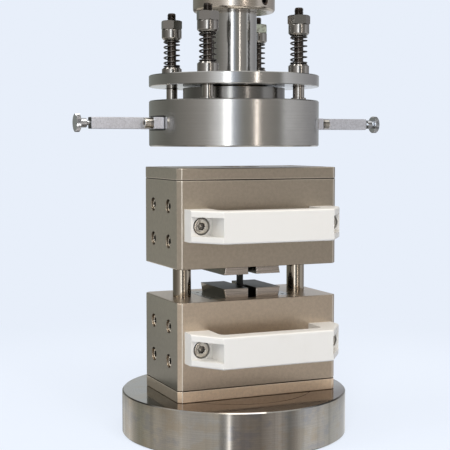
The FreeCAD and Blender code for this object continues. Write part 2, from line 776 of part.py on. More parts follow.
def cut_handle_ends(body):
    """The open screw pockets at both ends, with counterbores and screw holes in their floors."""
    m8 = CAP_SCREWS["m8"]
    pockets = new_sketch(body, name="EndPockets")
    beyond = handle_end + 1
    for sign in SIDES.values():
        inner, outer = (handle_end - s.handle_pocket_w) * sign, beyond * sign
        outline(pockets, [
            (inner, s.handle_foot), (outer, s.handle_foot),
            (outer, s.handle_out + 1), (inner, s.handle_out + 1),
        ])
    pocket(body, pockets, s.handle_pocket_h, "EndPocketsCut", both_ways=True)
    for name, diameter, depth in (
        ("Sink", s.handle_sink_d * 1, s.handle_sink),
        ("Hole", m8["shank_d"] + SHANK_ROOM, s.handle_foot),
    ):
        sketch = new_sketch(body, "XZ_Plane", "Screw" + name, -s.handle_foot)
        for sign in SIDES.values():
            circle(sketch, handle_screw_x * sign, 0, diameter)
        pocket(body, sketch, depth, "Screw%sPocket" % name, up=True)


def handle_screws(label, z):
    head_seat = s.handle_foot - s.handle_sink
    screws = []
    for side, sign in SIDES.items():
        x = s.box_x + handle_screw_x * sign
        y = s.box_y - s.block_d / 2 - head_seat
        screws.append(cap_screw("%s_%s" % (label, side), "m8", s.handle_screw_len, x, y, z, X_AXIS, 90))
    return group(label, screws)


def dome_profile(sketch, neck_r, neck_top, rim_x):
    """Draws the platen's half section, with the dome's arc centred on the platen face's centre."""
    r, c, t = s.platen_d / 2, s.platen_chamfer, s.platen_t
    points = [
        (0, 0), (r - c, 0), (r, c), (r, t - c), (r - c, t),
        (neck_r, t), (neck_r, neck_top), (rim_x, neck_top),
    ]
    for (x, y), (x2, y2) in zip(points, points[1:]):
        sketch.addGeometry(Part.LineSegment(V(number(x), number(y), 0), V(number(x2), number(y2), 0)))
    last = len(points) - 2
    for i in range(last):
        sketch.addConstraint(Sketcher.Constraint("Coincident", i, 2, i + 1, 1))
    for i, (x, y) in enumerate(points[:-1]):
        hold_point(sketch, i, 1, x, y)
    ball = Part.Circle(V(0, 0, 0), Z_AXIS, dome_r.value)
    rim_angle = math.atan2(number(neck_top), number(rim_x))
    arc = sketch.addGeometry(Part.ArcOfCircle(ball, rim_angle, math.pi / 2))
    axis = sketch.addGeometry(Part.LineSegment(V(0, dome_r.value, 0), V(0, 0, 0)))
    sketch.addConstraint(Sketcher.Constraint("Coincident", arc, 3, -1, 1))
    sketch.addConstraint(Sketcher.Constraint("Coincident", last, 2, arc, 1))
    sketch.addConstraint(Sketcher.Constraint("Coincident", arc, 2, axis, 1))
    sketch.addConstraint(Sketcher.Constraint("Coincident", axis, 2, 0, 1))
    sketch.addConstraint(Sketcher.Constraint("PointOnObject", arc, 2, -2))
    hold(sketch, "DistanceY", last, 2, neck_top)
    radius = sketch.addConstraint(Sketcher.Constraint("Radius", arc, dome_r.value))
    sketch.setExpression("Constraints[%d]" % radius, dome_r.text)


def upper_platen():
    body = new_body("upper_platen")
    sketch = new_sketch(body, "XZ_Plane")
    neck_top = s.platen_t + s.flange_gap - s.neck_gap
    rim_x = root(dome_r * dome_r - neck_top * neck_top)
    dome_profile(sketch, s.neck_d / 2, neck_top, rim_x)
    turn(body, sketch)
    cut_arm_slots(body)
    threads = new_sketch(body, name="StudThreads", offset=s.platen_t)
    for sx, sy in STUDS.values():
        circle(threads, stud_spread * sx, stud_spread * sy, s.stud_d + 2 * s.fixed_gap)
    pocket(body, threads, s.stud_sunk + 1, "StudThreadsPocket")
    place(body, z=platen_z)
    return keep(body, "upper_platen")


def cut_arm_slots(body):
    """The flat-floored slots in the platen's rim, and the threads of the arm screws."""
    middle = s.platen_t / 2
    m5 = CAP_SCREWS["m5"]
    slots = new_sketch(body, name="ArmSlots", offset=middle)
    half, beyond = s.slot_w / 2, s.platen_d / 2 + 1
    for sign in SIDES.values():
        floor, outer = slot_floor * sign, beyond * sign
        outline(slots, [(floor, -half), (outer, -half), (outer, half), (floor, half)])
    pocket(body, slots, s.slot_h, "ArmSlotsPocket", both_ways=True)
    for side, sign in SIDES.items():
        threads = new_sketch(body, "YZ_Plane", side.title() + "ArmThreads", slot_floor * sign)
        for sy in (-1, 1):
            circle(threads, s.arm_screw_y * sy, middle, m5["shank_d"] + 2 * s.fixed_gap)
        depth = s.arm_screw_len - s.arm_foot_t + 1
        pocket(body, threads, depth, side.title() + "ArmThreadsPocket", up=sign < 0)


def seat_liner():
    """The thin bronze liner: a slice of a spherical shell about the platen face's centre."""
    liner_r = dome_r + s.ball_gap
    outer = doc.addObject("Part::Sphere", "liner_outer")
    bind(outer, "Radius", liner_r + s.liner_t)
    inner = doc.addObject("Part::Sphere", "liner_inner")
    bind(inner, "Radius", liner_r)
    shell = cut("liner_shell", outer, inner)
    disc = cylinder("liner_disc", s.liner_d, dome_r * 2)
    hole = cylinder("liner_hole", s.liner_hole_d, dome_r * 2)
    washer = cut("liner_washer", disc, hole)
    liner = doc.addObject("Part::Common", "seat_liner")
    liner.Base = shell
    liner.Tool = washer
    place(liner, z=platen_z)
    return keep(liner, "seat_liner")


def flanged_stem():
    """Flange and stem, turned from one piece, with the spherical socket in its underside."""
    body = new_body("stem_turned")
    sketch = new_sketch(body, "XZ_Plane")
    r, c, t, stem_r = s.platen_d / 2, s.flange_chamfer, s.flange_t, s.stem_d / 2
    top = t + s.stem_len + s.stem_in
    outline(sketch, [
        (0, 0), (r - c, 0), (r, c), (r, t - c), (r - c, t),
        (stem_r, t), (stem_r, top - c), (stem_r - c, top), (0, top),
    ])
    turn(body, sketch)
    holes = new_sketch(body, name="StudHoles")
    for sx, sy in STUDS.values():
        circle(holes, stud_spread * sx, stud_spread * sy, s.stud_hole_d)
    pocket(body, holes, s.flange_t, "StudHolesPocket", up=True)
    socket = doc.addObject("Part::Sphere", "stem_socket_ball")
    bind(socket, "Radius", dome_r + s.liner_t + 2 * s.ball_gap)
    place(socket, z=-s.platen_t - s.flange_gap)
    blank = cut("stem_blank", body, socket)
    pin = cylinder("stem_pin_hole", s.adapter_pin_d + 2 * s.fixed_gap, s.stem_d * 2, -s.stem_d, 0,
                   t + s.stem_len + s.adapter_pin_z, Y_AXIS, 90)
    stem = cut("flanged_stem", blank, pin)
    place(stem, z=flange_z)
    return keep(stem, "flanged_stem")


def load_adapter():
    """The round adapter, with the stem's bore below and a threaded hole above."""
    body = new_body("adapter_turned")
    sketch = new_sketch(body, "XZ_Plane")
    r, bore, m = s.adapter_d / 2, s.stem_d / 2 + s.slide_gap, s.adapter_mouth
    deep, top, edge = s.stem_in + 1, s.adapter_len, s.adapter_mouth
    outline(sketch, [
        (bore + m, 0), (r, 0), (r, top - edge), (r - edge, top),
        (0, top), (0, deep), (bore, deep), (bore, m),
    ])
    base = turn(body, sketch)
    rim = edges_where(base, lambda e: e.BoundBox.ZMax < 1e-6 and e.BoundBox.XMax > number(r) - 1e-3)
    dress(body, "Fillet", base, rim, s.adapter_round, "LowerRound")
    thread = new_sketch(body, name="TopThread", offset=s.adapter_len)
    circle(thread, 0, 0, s.adapter_thread_d)
    pocket(body, thread, s.adapter_thread_depth, "TopThreadPocket")
    pin = new_sketch(body, "YZ_Plane", "PinHole")
    circle(pin, 0, s.adapter_pin_z, s.adapter_pin_d + 2 * s.fixed_gap)
    pocket(body, pin, s.adapter_d + 2, "PinHolePocket", both_ways=True)
    drill = cylinder("set_screw_hole", s.set_screw_d + 2 * s.fixed_gap, s.adapter_d)
    place(drill, 0, 0, s.set_screw_z, *set_screw_direction())
    adapter = cut("load_adapter", body, drill)
    place(adapter, z=adapter_z)
    return keep(adapter, "load_adapter")


def set_screw_direction():
    """Axis and angle of the turn that points +Z the way the set screw points out."""
    way = math.radians(s.set_screw_turn.value)
    turned = FreeCAD.Rotation(Z_AXIS, V(math.cos(way), math.sin(way), 0))
    return turned.Axis, math.degrees(turned.Angle)


def set_screw():
    """A socket set screw from the stem out to just below the adapter's side."""
    inner = s.stem_d / 2 + s.slide_gap
    length = s.adapter_d / 2 - s.set_screw_sink - inner
    way = math.radians(s.set_screw_turn.value)
    rod = cylinder("set_screw_rod", s.set_screw_d, length)
    socket = doc.addObject("Part::Prism", "set_screw_socket")
    socket.Polygon = 6
    bind(socket, "Circumradius", s.set_screw_d / 2 / math.sqrt(3))
    bind(socket, "Height", length)
    place(socket, z=length * 0.6)
    screw = cut("set_screw", rod, socket)
    x, y = inner * math.cos(way), inner * math.sin(way)
    place(screw, x, y, adapter_z + s.set_screw_z, *set_screw_direction())
    return keep(screw, "set_screw")


def adapter_pin():
    body = new_body("adapter_pin")
    sketch = new_sketch(body, "XZ_Plane")
    length = s.adapter_d + 2 * s.adapter_pin_over
    r, c = s.adapter_pin_d / 2, s.adapter_mouth
    outline(sketch, [(0, 0), (r - c, 0), (r, c), (r, length - c), (r - c, length), (0, length)])
    turn(body, sketch)
    place(body, -length / 2, 0, adapter_z + s.adapter_pin_z, Y_AXIS, 90)
    return keep(body, "adapter_pin")


def stud_place(number_of_stud):
    sx, sy = STUDS[number_of_stud]
    return stud_spread * sx, stud_spread * sy


def stud(index):
    label = "stud_%d" % index
    body = new_body(label)
    sketch = new_sketch(body, "XZ_Plane")
    r, low, foot = s.stud_d / 2, s.stud_sunk, s.stud_foot_d / 2
    thread_r, top = s.stud_thread_d / 2, s.stud_sunk + s.stud_top
    shoulder = s.stud_sunk + s.flange_gap + s.flange_t + s.bush_low_t / 2
    chamfer = s.stud_thread_d / 10
    outline(sketch, [
        (0, 0), (r, 0), (r, low), (foot, low), (foot, low + s.stud_foot_t), (r, low + s.stud_foot_t),
        (r, shoulder), (thread_r, shoulder), (thread_r, top - chamfer), (thread_r - chamfer, top), (0, top),
    ])
    turn(body, sketch)
    x, y = stud_place(index)
    place(body, x, y, platen_top_z - s.stud_sunk)
    return keep(body, label)


def lower_bush(index):
    label = "spring_bush_%d" % index
    body = new_body(label)
    sketch = new_sketch(body, "XZ_Plane")
    bore, r, step = s.stud_hole_d / 2, s.bush_low_d / 2, s.bush_step_d / 2
    shoulder = s.bush_low_t - s.bush_step_t
    outline(sketch, [
        (bore, 0), (r, 0), (r, shoulder), (step, shoulder), (step, s.bush_low_t), (bore, s.bush_low_t),
    ])
    turn(body, sketch)
    x, y = stud_place(index)
    place(body, x, y, flange_top_z)
    return keep(body, label)


def spring_collar(index):
    label = "spring_collar_%d" % index
    body = new_body(label)
    sketch = new_sketch(body, "XZ_Plane")
    bore, r, low = s.stud_thread_d / 2 + s.fixed_gap, s.collar_d / 2, s.collar_low_d / 2
    outline(sketch, [
        (bore, 0), (low, 0), (r, s.collar_taper), (r, s.collar_t), (bore, s.collar_t),
    ])
    turn(body, sketch)
    x, y = stud_place(index)
    place(body, x, y, flange_top_z + s.bush_low_t + s.spring_len)
    return keep(body, label)


def nut(index):
    """A hexagon nut with its upper corners turned off."""
    name = "nut_%d" % index
    prism = doc.addObject("Part::Prism", name + "_prism")
    prism.Polygon = 6
    bind(prism, "Circumradius", s.nut_af / math.sqrt(3))
    bind(prism, "Height", s.nut_t)
    bore = cylinder(name + "_bore", s.stud_thread_d + 2 * s.fixed_gap, s.nut_t)
    cone = doc.addObject("Part::Cone", name + "_cone")
    bind(cone, "Radius1", s.nut_af / 2 + s.nut_t * 1.6)
    bind(cone, "Radius2", s.nut_af / 2)
    bind(cone, "Height", s.nut_t)
    rounded = doc.addObject("Part::Common", name + "_rounded")
    rounded.Base = prism
    rounded.Tool = cone
    piece = cut(name, rounded, bore)
    x, y = stud_place(index)
    z = flange_top_z + s.bush_low_t + s.spring_len + s.collar_t
    place(piece, x, y, z, Z_AXIS, 20 * index)
    return piece


def spring(index):
    """A coil of flat-sided wire, which keeps its surface light, between bush and collar."""
    label = "spring_%d" % index
    wire_r, coil_r = s.wire_d.value / 2, (s.spring_d.value - s.wire_d.value) / 2
    rise = s.spring_len.value - s.wire_d.value
    steps = int(SPRING_TURNS * SPRING_STEPS)
    path = []
    for i in range(steps + 1):
        angle = 2 * math.pi * i / SPRING_STEPS
        path.append(V(coil_r * math.cos(angle), coil_r * math.sin(angle), wire_r + rise * i / steps))
    ring = []
    for i in range(WIRE_SIDES + 1):
        angle = 2 * math.pi * i / WIRE_SIDES
        ring.append(V(coil_r + wire_r * math.cos(angle), 0, wire_r + wire_r * math.sin(angle)))
    section = Part.makePolygon(ring)
    feature = doc.addObject("Part::Feature", label)
    feature.Shape = Part.makePolygon(path).makePipeShell([section], True, True, 1)
    x, y = stud_place(index)
    place(feature, x, y, flange_top_z + s.bush_low_t)
    return keep(feature, label)


def arm(label, sign):
    """A square arm with its foot plate, drawn for the right side and turned about for the left."""
    body = new_body(label)
    sketch = new_sketch(body)
    foot, half, bar = arm_foot_end, s.arm_foot_w / 2, s.arm_w / 2
    outline(sketch, [
        (slot_floor, -half), (foot, -half), (foot, -bar), (arm_end, -bar),
        (arm_end, bar), (foot, bar), (foot, half), (slot_floor, half),
    ])
    pad(body, sketch, s.arm_h, both_ways=True)
    m5 = CAP_SCREWS["m5"]
    holes = new_sketch(body, "YZ_Plane", "ScrewHoles", slot_floor)
    for sy in (-1, 1):
        circle(holes, s.arm_screw_y * sy, 0, m5["shank_d"] + SHANK_ROOM)
    pocket(body, holes, s.arm_foot_t, "ScrewHolesPocket", up=True)
    thread = new_sketch(body, "YZ_Plane", "ThumbThread", arm_end)
    circle(thread, 0, 0, s.thumb_d + 2 * s.slide_gap)
    pocket(body, thread, s.thumb_in + 1, "ThumbThreadPocket")
    place(body, z=platen_z + s.platen_t / 2, angle=0 if sign > 0 else 180)
    return keep(body, label)


def arm_screws(label, sign):
    screws = []
    for sy in (-1, 1):
        name = "%s_%d" % (label, len(screws))
        x, y, z = arm_screw_seat * sign, s.arm_screw_y * sy, platen_z + s.platen_t / 2
        screws.append(cap_screw(name, "m5", s.arm_screw_len, x, y, z, Y_AXIS, 90 * sign))
    return group(label, screws)


def washer(name, diameter, thickness, x, y, sign):
    """A washer for an m5 screw, whose inner face is at x, on the left for a negative sign."""
    disc = cylinder(name + "_disc", diameter, thickness)
    bore = cylinder(name + "_bore", CAP_SCREWS["m5"]["shank_d"] + SHANK_ROOM, thickness)
    ring = cut(name, disc, bore)
    place(ring, x * sign, y, platen_z + s.platen_t / 2, Y_AXIS, 90 * sign)
    return ring


def arm_washers():
    """A flat washer and a lock washer under each of the four arm screws."""
    washers = []
    for sign in SIDES.values():
        for sy in (-1, 1):
            y, index = s.arm_screw_y * sy, len(washers)
            flat = washer("flat_washer_%d" % index, s.washer_d, s.washer_t, arm_foot_end, y, sign)
            inner = arm_foot_end + s.washer_t
            lock = washer("lock_washer_%d" % index, s.lock_washer_d, s.lock_washer_t, inner, y, sign)
            washers += [flat, lock]
    return group("arm_washers", washers)


def thumb_screw(label, sign):
    """A knurled thumb screw: thread, neck, collar and disc along its own axis."""
    body = new_body(label)
    sketch = new_sketch(body, "XZ_Plane")
    r, collar, disc = s.thumb_d / 2, s.thumb_collar_d / 2, s.thumb_disc_d / 2
    neck = s.thumb_in + s.thumb_neck
    shoulder = neck + s.thumb_collar_t
    end, edge = shoulder + s.thumb_disc_t, s.thumb_neck / 6
    outline(sketch, [
        (0, 0), (r, 0), (r, neck), (collar, neck), (collar, shoulder), (disc - edge, shoulder),
        (disc, shoulder + edge), (disc, end - edge), (disc - edge, end), (0, end),
    ])
    turn(body, sketch)
    x = (arm_end - s.thumb_in) * sign
    place(body, x, 0, platen_z + s.platen_t / 2, Y_AXIS, 90 * sign)
    return keep(body, label)


def build():
    lower_mid_z = lower_housing_z + s.housing_t / 2
    upper_mid_z = upper_housing_z + s.housing_t / 2
    lower_platen()
    cover_plate("lower_cover_plate", box_z, False)
    cover_screws("lower_cover_screws", box_z, False)
    lower_housing()
    upper_housing()
    cover_plate("upper_cover_plate", upper_cover_z, True)
    cover_screws("upper_cover_screws", box_top_z, True)
    for block, is_upper in (("lower", False), ("upper", True)):
        for side in SIDES:
            seat("%s_seat_%s" % (block, side), side, is_upper)
            wedge("%s_wedge_%s" % (block, side), side, is_upper)
    seat_screws("lower_seat_screws", lower_housing_z)
    seat_screws("upper_seat_screws", upper_housing_z)
    coupon()
    coupon_tabs()
    handle("lower_handle", lower_mid_z)
    handle("upper_handle", upper_mid_z)
    handle_screws("lower_handle_screws", lower_mid_z)
    handle_screws("upper_handle_screws", upper_mid_z)
    upper_platen()
    seat_liner()
    flanged_stem()
    load_adapter()
    adapter_pin()
    set_screw()
    for index in STUDS:
        stud(index)
        lower_bush(index)
        spring(index)
        spring_collar(index)
    group("stud_nuts", [nut(index) for index in STUDS])
    for side, sign in SIDES.items():
        guide_post("guide_post_" + side, sign)
        guide_bush("guide_bush_" + side, sign)
        arm("arm_" + side, sign)
        arm_screws("arm_screws_" + side, sign)
        thumb_screw("thumb_screw_" + side, sign)
    arm_washers()


def check_all():
    doc.recompute()
    failed = [o.Name for o in doc.Objects if set(o.State) & {"Invalid", "Error"}]
    for obj in nodes:
        if obj.Shape.isNull() or not obj.Shape.isValid():
            failed.append(obj.Label)
    if failed:
        raise RuntimeError("failed: %s" % ", ".join(failed))


def export_all():
    os.makedirs("parts", exist_ok=True)
    for obj in nodes:
        obj.Shape.exportStep(os.path.join("parts", obj.Label + ".step"))
    print("wrote %d sub-parts" % len(nodes))


build()
check_all()
export_all()
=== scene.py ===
import json
import logging
import math
from collections.abc import Sequence
from dataclasses import dataclass, field
from enum import Enum
from typing import Any, Union

import bmesh
import bpy
from mathutils import Matrix, Vector


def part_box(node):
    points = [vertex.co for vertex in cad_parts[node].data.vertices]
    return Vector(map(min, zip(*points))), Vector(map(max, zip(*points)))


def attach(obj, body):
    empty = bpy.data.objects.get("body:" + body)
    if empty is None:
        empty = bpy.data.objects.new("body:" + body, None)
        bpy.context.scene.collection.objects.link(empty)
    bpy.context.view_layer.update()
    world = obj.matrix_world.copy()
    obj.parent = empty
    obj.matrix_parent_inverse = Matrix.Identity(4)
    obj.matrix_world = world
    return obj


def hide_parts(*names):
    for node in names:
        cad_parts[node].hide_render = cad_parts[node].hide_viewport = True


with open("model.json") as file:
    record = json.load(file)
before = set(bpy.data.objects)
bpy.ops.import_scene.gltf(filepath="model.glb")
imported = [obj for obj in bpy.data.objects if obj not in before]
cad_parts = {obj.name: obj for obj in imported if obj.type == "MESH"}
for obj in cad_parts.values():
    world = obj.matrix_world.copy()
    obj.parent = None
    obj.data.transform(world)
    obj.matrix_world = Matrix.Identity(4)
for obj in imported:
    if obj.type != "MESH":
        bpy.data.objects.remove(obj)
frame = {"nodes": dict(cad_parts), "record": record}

log = logging.getLogger("compression_fixture")
MM = 0.001
TENTH = MM / 10
SHARP_ANGLE = math.radians(32)
FLAT_ANGLE = math.radians(0.3)
WELD_DISTANCE = 1e-7
ON_RING = 1e-6
NOISE_MIDDLE = 0.5
SIDES = (-1, 1)
SIDE_NAMES = {-1: "left", 1: "right"}
FOUR = range(1, 5)
Number = Union[float, "Value"]
Colour = tuple[float, float, float, float]
Point = tuple[float, float, float]
Stop = tuple[float, float, float, float]
Inputs = dict[str, Any]


class Value:
    """One output socket of a node tree, with the arithmetic that shader maths needs."""

    def __init__(self, graph: "Graph", socket: bpy.types.NodeSocket) -> None:
        """Wraps one socket of the given graph."""
        self.graph = graph
        self.socket = socket

    def _math(self, operation: str, first: Number, second: Number = 0.0) -> "Value":
        """Adds a Math node that joins two numbers."""
        return self.graph.node("ShaderNodeMath", {"operation": operation}, {0: first, 1: second})

    def __add__(self, other: Number) -> "Value":
        """The sum."""
        return self._math("ADD", self, other)

    __radd__ = __add__

    def __sub__(self, other: Number) -> "Value":
        """The difference."""
        return self._math("SUBTRACT", self, other)

    def __rsub__(self, other: Number) -> "Value":
        """The difference, with this value taken away."""
        return self._math("SUBTRACT", other, self)

    def __mul__(self, other: Number) -> "Value":
        """The product."""
        return self._math("MULTIPLY", self, other)

    __rmul__ = __mul__

    def maximum(self, other: Number) -> "Value":
        """The larger of two numbers."""
        return self._math("MAXIMUM", self, other)

    def minimum(self, other: Number) -> "Value":
        """The smaller of two numbers."""
        return self._math("MINIMUM", self, other)

    def absolute(self) -> "Value":
        """The size without its sign."""
        return self._math("ABSOLUTE", self)

    def root(self) -> "Value":
        """The square root."""
        return self._math("SQRT", self)

    def angle_to(self, other: Number) -> "Value":
        """The angle whose tangent is this value over the other."""
        return self._math("ARCTAN2", self, other)

    def between(self, low: float, high: float) -> "Value":
        """A smooth step from 0 at low to 1 at high."""
        inputs = {"Value": self, "From Min": low, "From Max": high}
        return self.graph.node("ShaderNodeMapRange", {"interpolation_type": "SMOOTHSTEP"}, inputs)

    def swing(self, amount: float) -> "Value":
        """A change to either side of 0, from a noise about its middle."""
        return (self - NOISE_MIDDLE) * amount


class Graph:
    """A node tree, and the one method that adds nodes to it."""

    def __init__(self, tree: bpy.types.NodeTree) -> None:
        """Starts an empty tree."""
        self.tree = tree
        tree.nodes.clear()

    def node(self, kind: str, settings: dict[str, Any] | None = None,
             inputs: dict[str | int, Any] | None = None, output: str | int = 0) -> Value:
        """Adds a node.

        Args:
            kind: the node's type.
            settings: its properties, set first; "stops" gives a ramp's positions and colours.
            inputs: a number, colour or Value for each named or numbered socket.
            output: which output is wanted.

        Returns:
            The wanted output.
        """
        made = self.tree.nodes.new(kind)
        for name, setting in (settings or {}).items():
            if name == "stops":
                self._set_stops(made.color_ramp, setting)
            else:
                setattr(made, name, setting)
        for name, given in (inputs or {}).items():
            if isinstance(given, Value):
                self.tree.links.new(given.socket, made.inputs[name])
            else:
                made.inputs[name].default_value = given
        return Value(self, made.outputs[output] if made.outputs else None)

    @staticmethod
    def _set_stops(ramp: bpy.types.ColorRamp, stops: Sequence[tuple[float, Sequence[float]]]) -> None:
        """Gives a colour ramp its stops, from first to last.

        Args:
            ramp: the ramp.
            stops: a position from 0 to 1 and a colour for each stop.
        """
        while len(ramp.elements) < len(stops):
            ramp.elements.new(1.0)
        for element, (position, colour) in zip(ramp.elements, stops):
            element.position = position
            element.color = colour

    def axes(self, vector: Value) -> tuple[Value, ...]:
        """The X, Y and Z of a vector."""
        return tuple(self.node("ShaderNodeSeparateXYZ", None, {0: vector}, axis) for axis in "XYZ")

    def place(self) -> Value:
        """The place on the object, in metres of the shared frame."""
        return self.node("ShaderNodeTexCoord", None, None, "Object")

    def ray(self, kind: str) -> Value:
        """1 for one kind of ray, such as Camera, and 0 for the others."""
        return self.node("ShaderNodeLightPath", None, None, "Is %s Ray" % kind)

    def mapped(self, vector: Value, scale: Sequence[float]) -> Value:
        """A vector stretched along the three axes."""
        return self.node("ShaderNodeMapping", {"vector_type": "POINT"}, {"Vector": vector, "Scale": scale})

    def noise(self, vector: Value, scale: float, detail: float = 2.0, roughness: float = 0.5) -> Value:
        """Soft three-dimensional noise about 0.5."""
        inputs = {"Vector": vector, "Scale": scale, "Detail": detail, "Roughness": roughness}
        return self.node("ShaderNodeTexNoise", {"noise_dimensions": "3D"}, inputs)

    def noise_along(self, place: Value, scale: float, detail: float = 2.0) -> Value:
        """Noise that changes along one number only, as tool marks do."""
        inputs = {"W": place, "Scale": scale, "Detail": detail, "Roughness": 0.6}
        return self.node("ShaderNodeTexNoise", {"noise_dimensions": "1D"}, inputs)

    def open_sky(self, reach: float) -> Value:
        """How open a place is, from 0 deep in a hole to 1 on a plain face."""
        settings = {"samples": 8, "only_local": True}
        return self.node("ShaderNodeAmbientOcclusion", settings, {"Distance": reach}, "AO")

    def blend(self, factor: Number, first: Any, second: Any) -> Value:
        """A colour between two others."""
        settings = {"data_type": "RGBA", "blend_type": "MIX"}
        return self.node("ShaderNodeMix", settings, {0: factor, 6: first, 7: second}, 2)

    def bump(self, height: Value, depth: float) -> Value:
        """A normal roughened by a height.

        Args:
            height: the height, from 0 to 1.
            depth: what a height of 1 is, in metres.

        Returns:
            The normal.
        """
        inputs = {"Strength": 1.0, "Distance": depth, "Height": height}
        return self.node("ShaderNodeBump", None, inputs, "Normal")


def colour(red: float, green: float, blue: float) -> Colour:
    """A linear colour from three values of 0 to 1."""
    return (red, green, blue, 1.0)


def shade(tone: Colour, factor: float) -> Colour:
    """A lighter or darker version of a colour."""
    return (tone[0] * factor, tone[1] * factor, tone[2] * factor, 1.0)


def looks(tone: Value, rough: Value, normal: Value) -> Inputs:
    """The shader inputs that most finishes drive."""
    return {"Base Color": tone, "Roughness": rough, "Normal": normal}


@dataclass(frozen=True)
class Finish:
    """What every finish has: a name, a tone, and a shader made from them."""

    name: str
    tone: Colour
    roughness: float = 0.3
    metallic: float = 1.0

    def surface(self, graph: Graph) -> Inputs:
        """The inputs of the shader that this finish drives."""
        return {"Base Color": self.tone, "Roughness": self.roughness}

    def grained(self, graph: Graph, grain: Value, darkest: float, lightest: float) -> Value:
        """The tone, made darker and lighter by a grain."""
        return graph.blend(grain.between(0.3, 0.7), shade(self.tone, darkest), shade(self.tone, lightest))

    def material(self) -> bpy.types.Material:
        """Builds the material once, and gives the same one after that.

        Returns:
            The material.
        """
        if self.name in bpy.data.materials:
            return bpy.data.materials[self.name]
        made = bpy.data.materials.new(self.name)
        made.use_nodes = True
        graph = Graph(made.node_tree)
        inputs = {"Metallic": self.metallic}
        inputs.update(self.surface(graph))
        shader = graph.node("ShaderNodeBsdfPrincipled", None, inputs)
        graph.node("ShaderNodeOutputMaterial", None, {"Surface": shader})
        return made


@dataclass(frozen=True)
class Turned(Finish):
    """Steel from the lathe: fine rings about the machine axis, and faint handling marks."""

    mark_scale: float = 1500.0
    mark_depth: float = 0.000002
    mark_tone: float = 0.05
    marks_in_band: float = 20.0
    stain: float = 0.25
    stain_shade: float = 0.6

    def surface(self, graph: Graph) -> Inputs:
        """Tool marks run round the axis, on the rim and on the faces alike.

        Args:
            graph: the material's node tree.

        Returns:
            The shader's inputs, by socket.
        """
        place = graph.place()
        x, y, z = graph.axes(place)
        travel = (x * x + y * y).root() + z
        marks = graph.noise_along(travel, self.mark_scale, 3.0)
        bands = graph.noise_along(travel, self.mark_scale / self.marks_in_band, 1.0)
        stain = graph.noise(place, 26.0, 4.0, 0.6).between(0.45, 0.8) * self.stain
        rough = self.roughness + marks.swing(0.04) + stain * 0.25 + bands.swing(0.03)
        tone = self.grained(graph, marks, 1 - self.mark_tone, 1 + self.mark_tone)
        stained = graph.blend(stain, tone, shade(self.tone, self.stain_shade))
        return self.finished(graph, stained, rough, graph.bump(marks, self.mark_depth))

    def finished(self, graph: Graph, tone: Value, rough: Value, normal: Value) -> Inputs:
        """The shader inputs, where a kind of turned part may add its own marks."""
        return looks(tone, rough, normal)


@dataclass(frozen=True)
class Slotted(Turned):
    """The upper platen's steel, with painted shade in the corners of its two arm slots, round the arms'
    feet.
    """

    slot_middle: float = 0.274
    slot_half: float = 0.006
    slot_end: float = 0.0185
    slot_floor: float = 0.069
    foot_half: float = 0.005
    foot_end: float = 0.017
    neck_from: float = 0.2935
    neck_dark: float = 0.75
    neck_shade: float = 0.35
    # near-black painted shade for the gaps round the arms' feet
    oil: Colour = (0.01, 0.009, 0.008, 1.0)

    def finished(self, graph: Graph, tone: Value, rough: Value, normal: Value) -> Inputs:
        """Painted shade darkens the gap above, below and at the ends of an arm's foot.

        Args:
            graph: the material's node tree.
            tone: the colour so far.
            rough: the roughness so far.
            normal: the normal.

        Returns:
            The shader's inputs, by socket.
        """
        x, y, z = graph.axes(graph.place())
        height, along = (z - self.slot_middle).absolute(), y.absolute()
        inside = 1 - height.between(self.slot_half + 2.5 * TENTH, self.slot_half + 4 * TENTH)
        gap = height.between(self.foot_half - 2 * TENTH, self.foot_half)
        end = 1 - (along - self.foot_end).absolute().between(6 * TENTH, 11 * TENTH)
        near = x.absolute().between(self.slot_floor, self.slot_floor + MM)
        beside = 1 - along.between(self.slot_end, self.slot_end + MM)
        on_neck = z.between(self.neck_from, self.neck_from + MM)
        darker = graph.blend(on_neck * self.neck_dark, tone, shade(self.tone, self.neck_shade))
        # painted shade: the gaps above, below and at the ends of each foot go near-black
        shaded_and_oiled = inside * near * beside * gap.maximum(end)
        return looks(graph.blend(shaded_and_oiled, darker, self.oil), rough, normal)


@dataclass(frozen=True)
class Socketed(Turned):
    """The screws' steel, with painted shade on the walls of each socket."""

    oil: Colour = (0.008, 0.0065, 0.005, 1.0)
    oil_rough: float = 0.45
    reach: float = 0.004

    def finished(self, graph: Graph, tone: Value, rough: Value, normal: Value) -> Inputs:
        """Painted shade darkens where the screw's own shape shuts the light out."""
        # painted shade from local occlusion: the socket walls go near-black and rougher
        shaded_and_oiled = 1 - graph.open_sky(self.reach).between(0.50, 0.84)
        return looks(graph.blend(shaded_and_oiled * 0.97, tone, self.oil), rough + shaded_and_oiled * self.oil_rough, normal)


@dataclass(frozen=True)
class OddNut(Turned):
    """The nuts' steel. The nut at the back on the right is a pale zinc-plated one."""

    pale: Colour = (0.62, 0.68, 0.58, 1.0)
    pale_rough: float = 0.3

    def finished(self, graph: Graph, tone: Value, rough: Value, normal: Value) -> Inputs:
        """The pale plating covers only what stands behind the axis, to the right.

        Args:
            graph: the material's node tree.
            tone: the colour so far.
            rough: the roughness so far.
            normal: the normal.

        Returns:
            The shader's inputs, by socket.
        """
        place = graph.place()
        x, y, _ = graph.axes(place)
        behind = x.between(0.0, MM) * y.between(0.0, MM)
        plated = behind * graph.noise(place, 260.0, 2.0).between(0.30, 0.55)
        return looks(graph.blend(plated, tone, self.pale), rough + plated * self.pale_rough, normal)


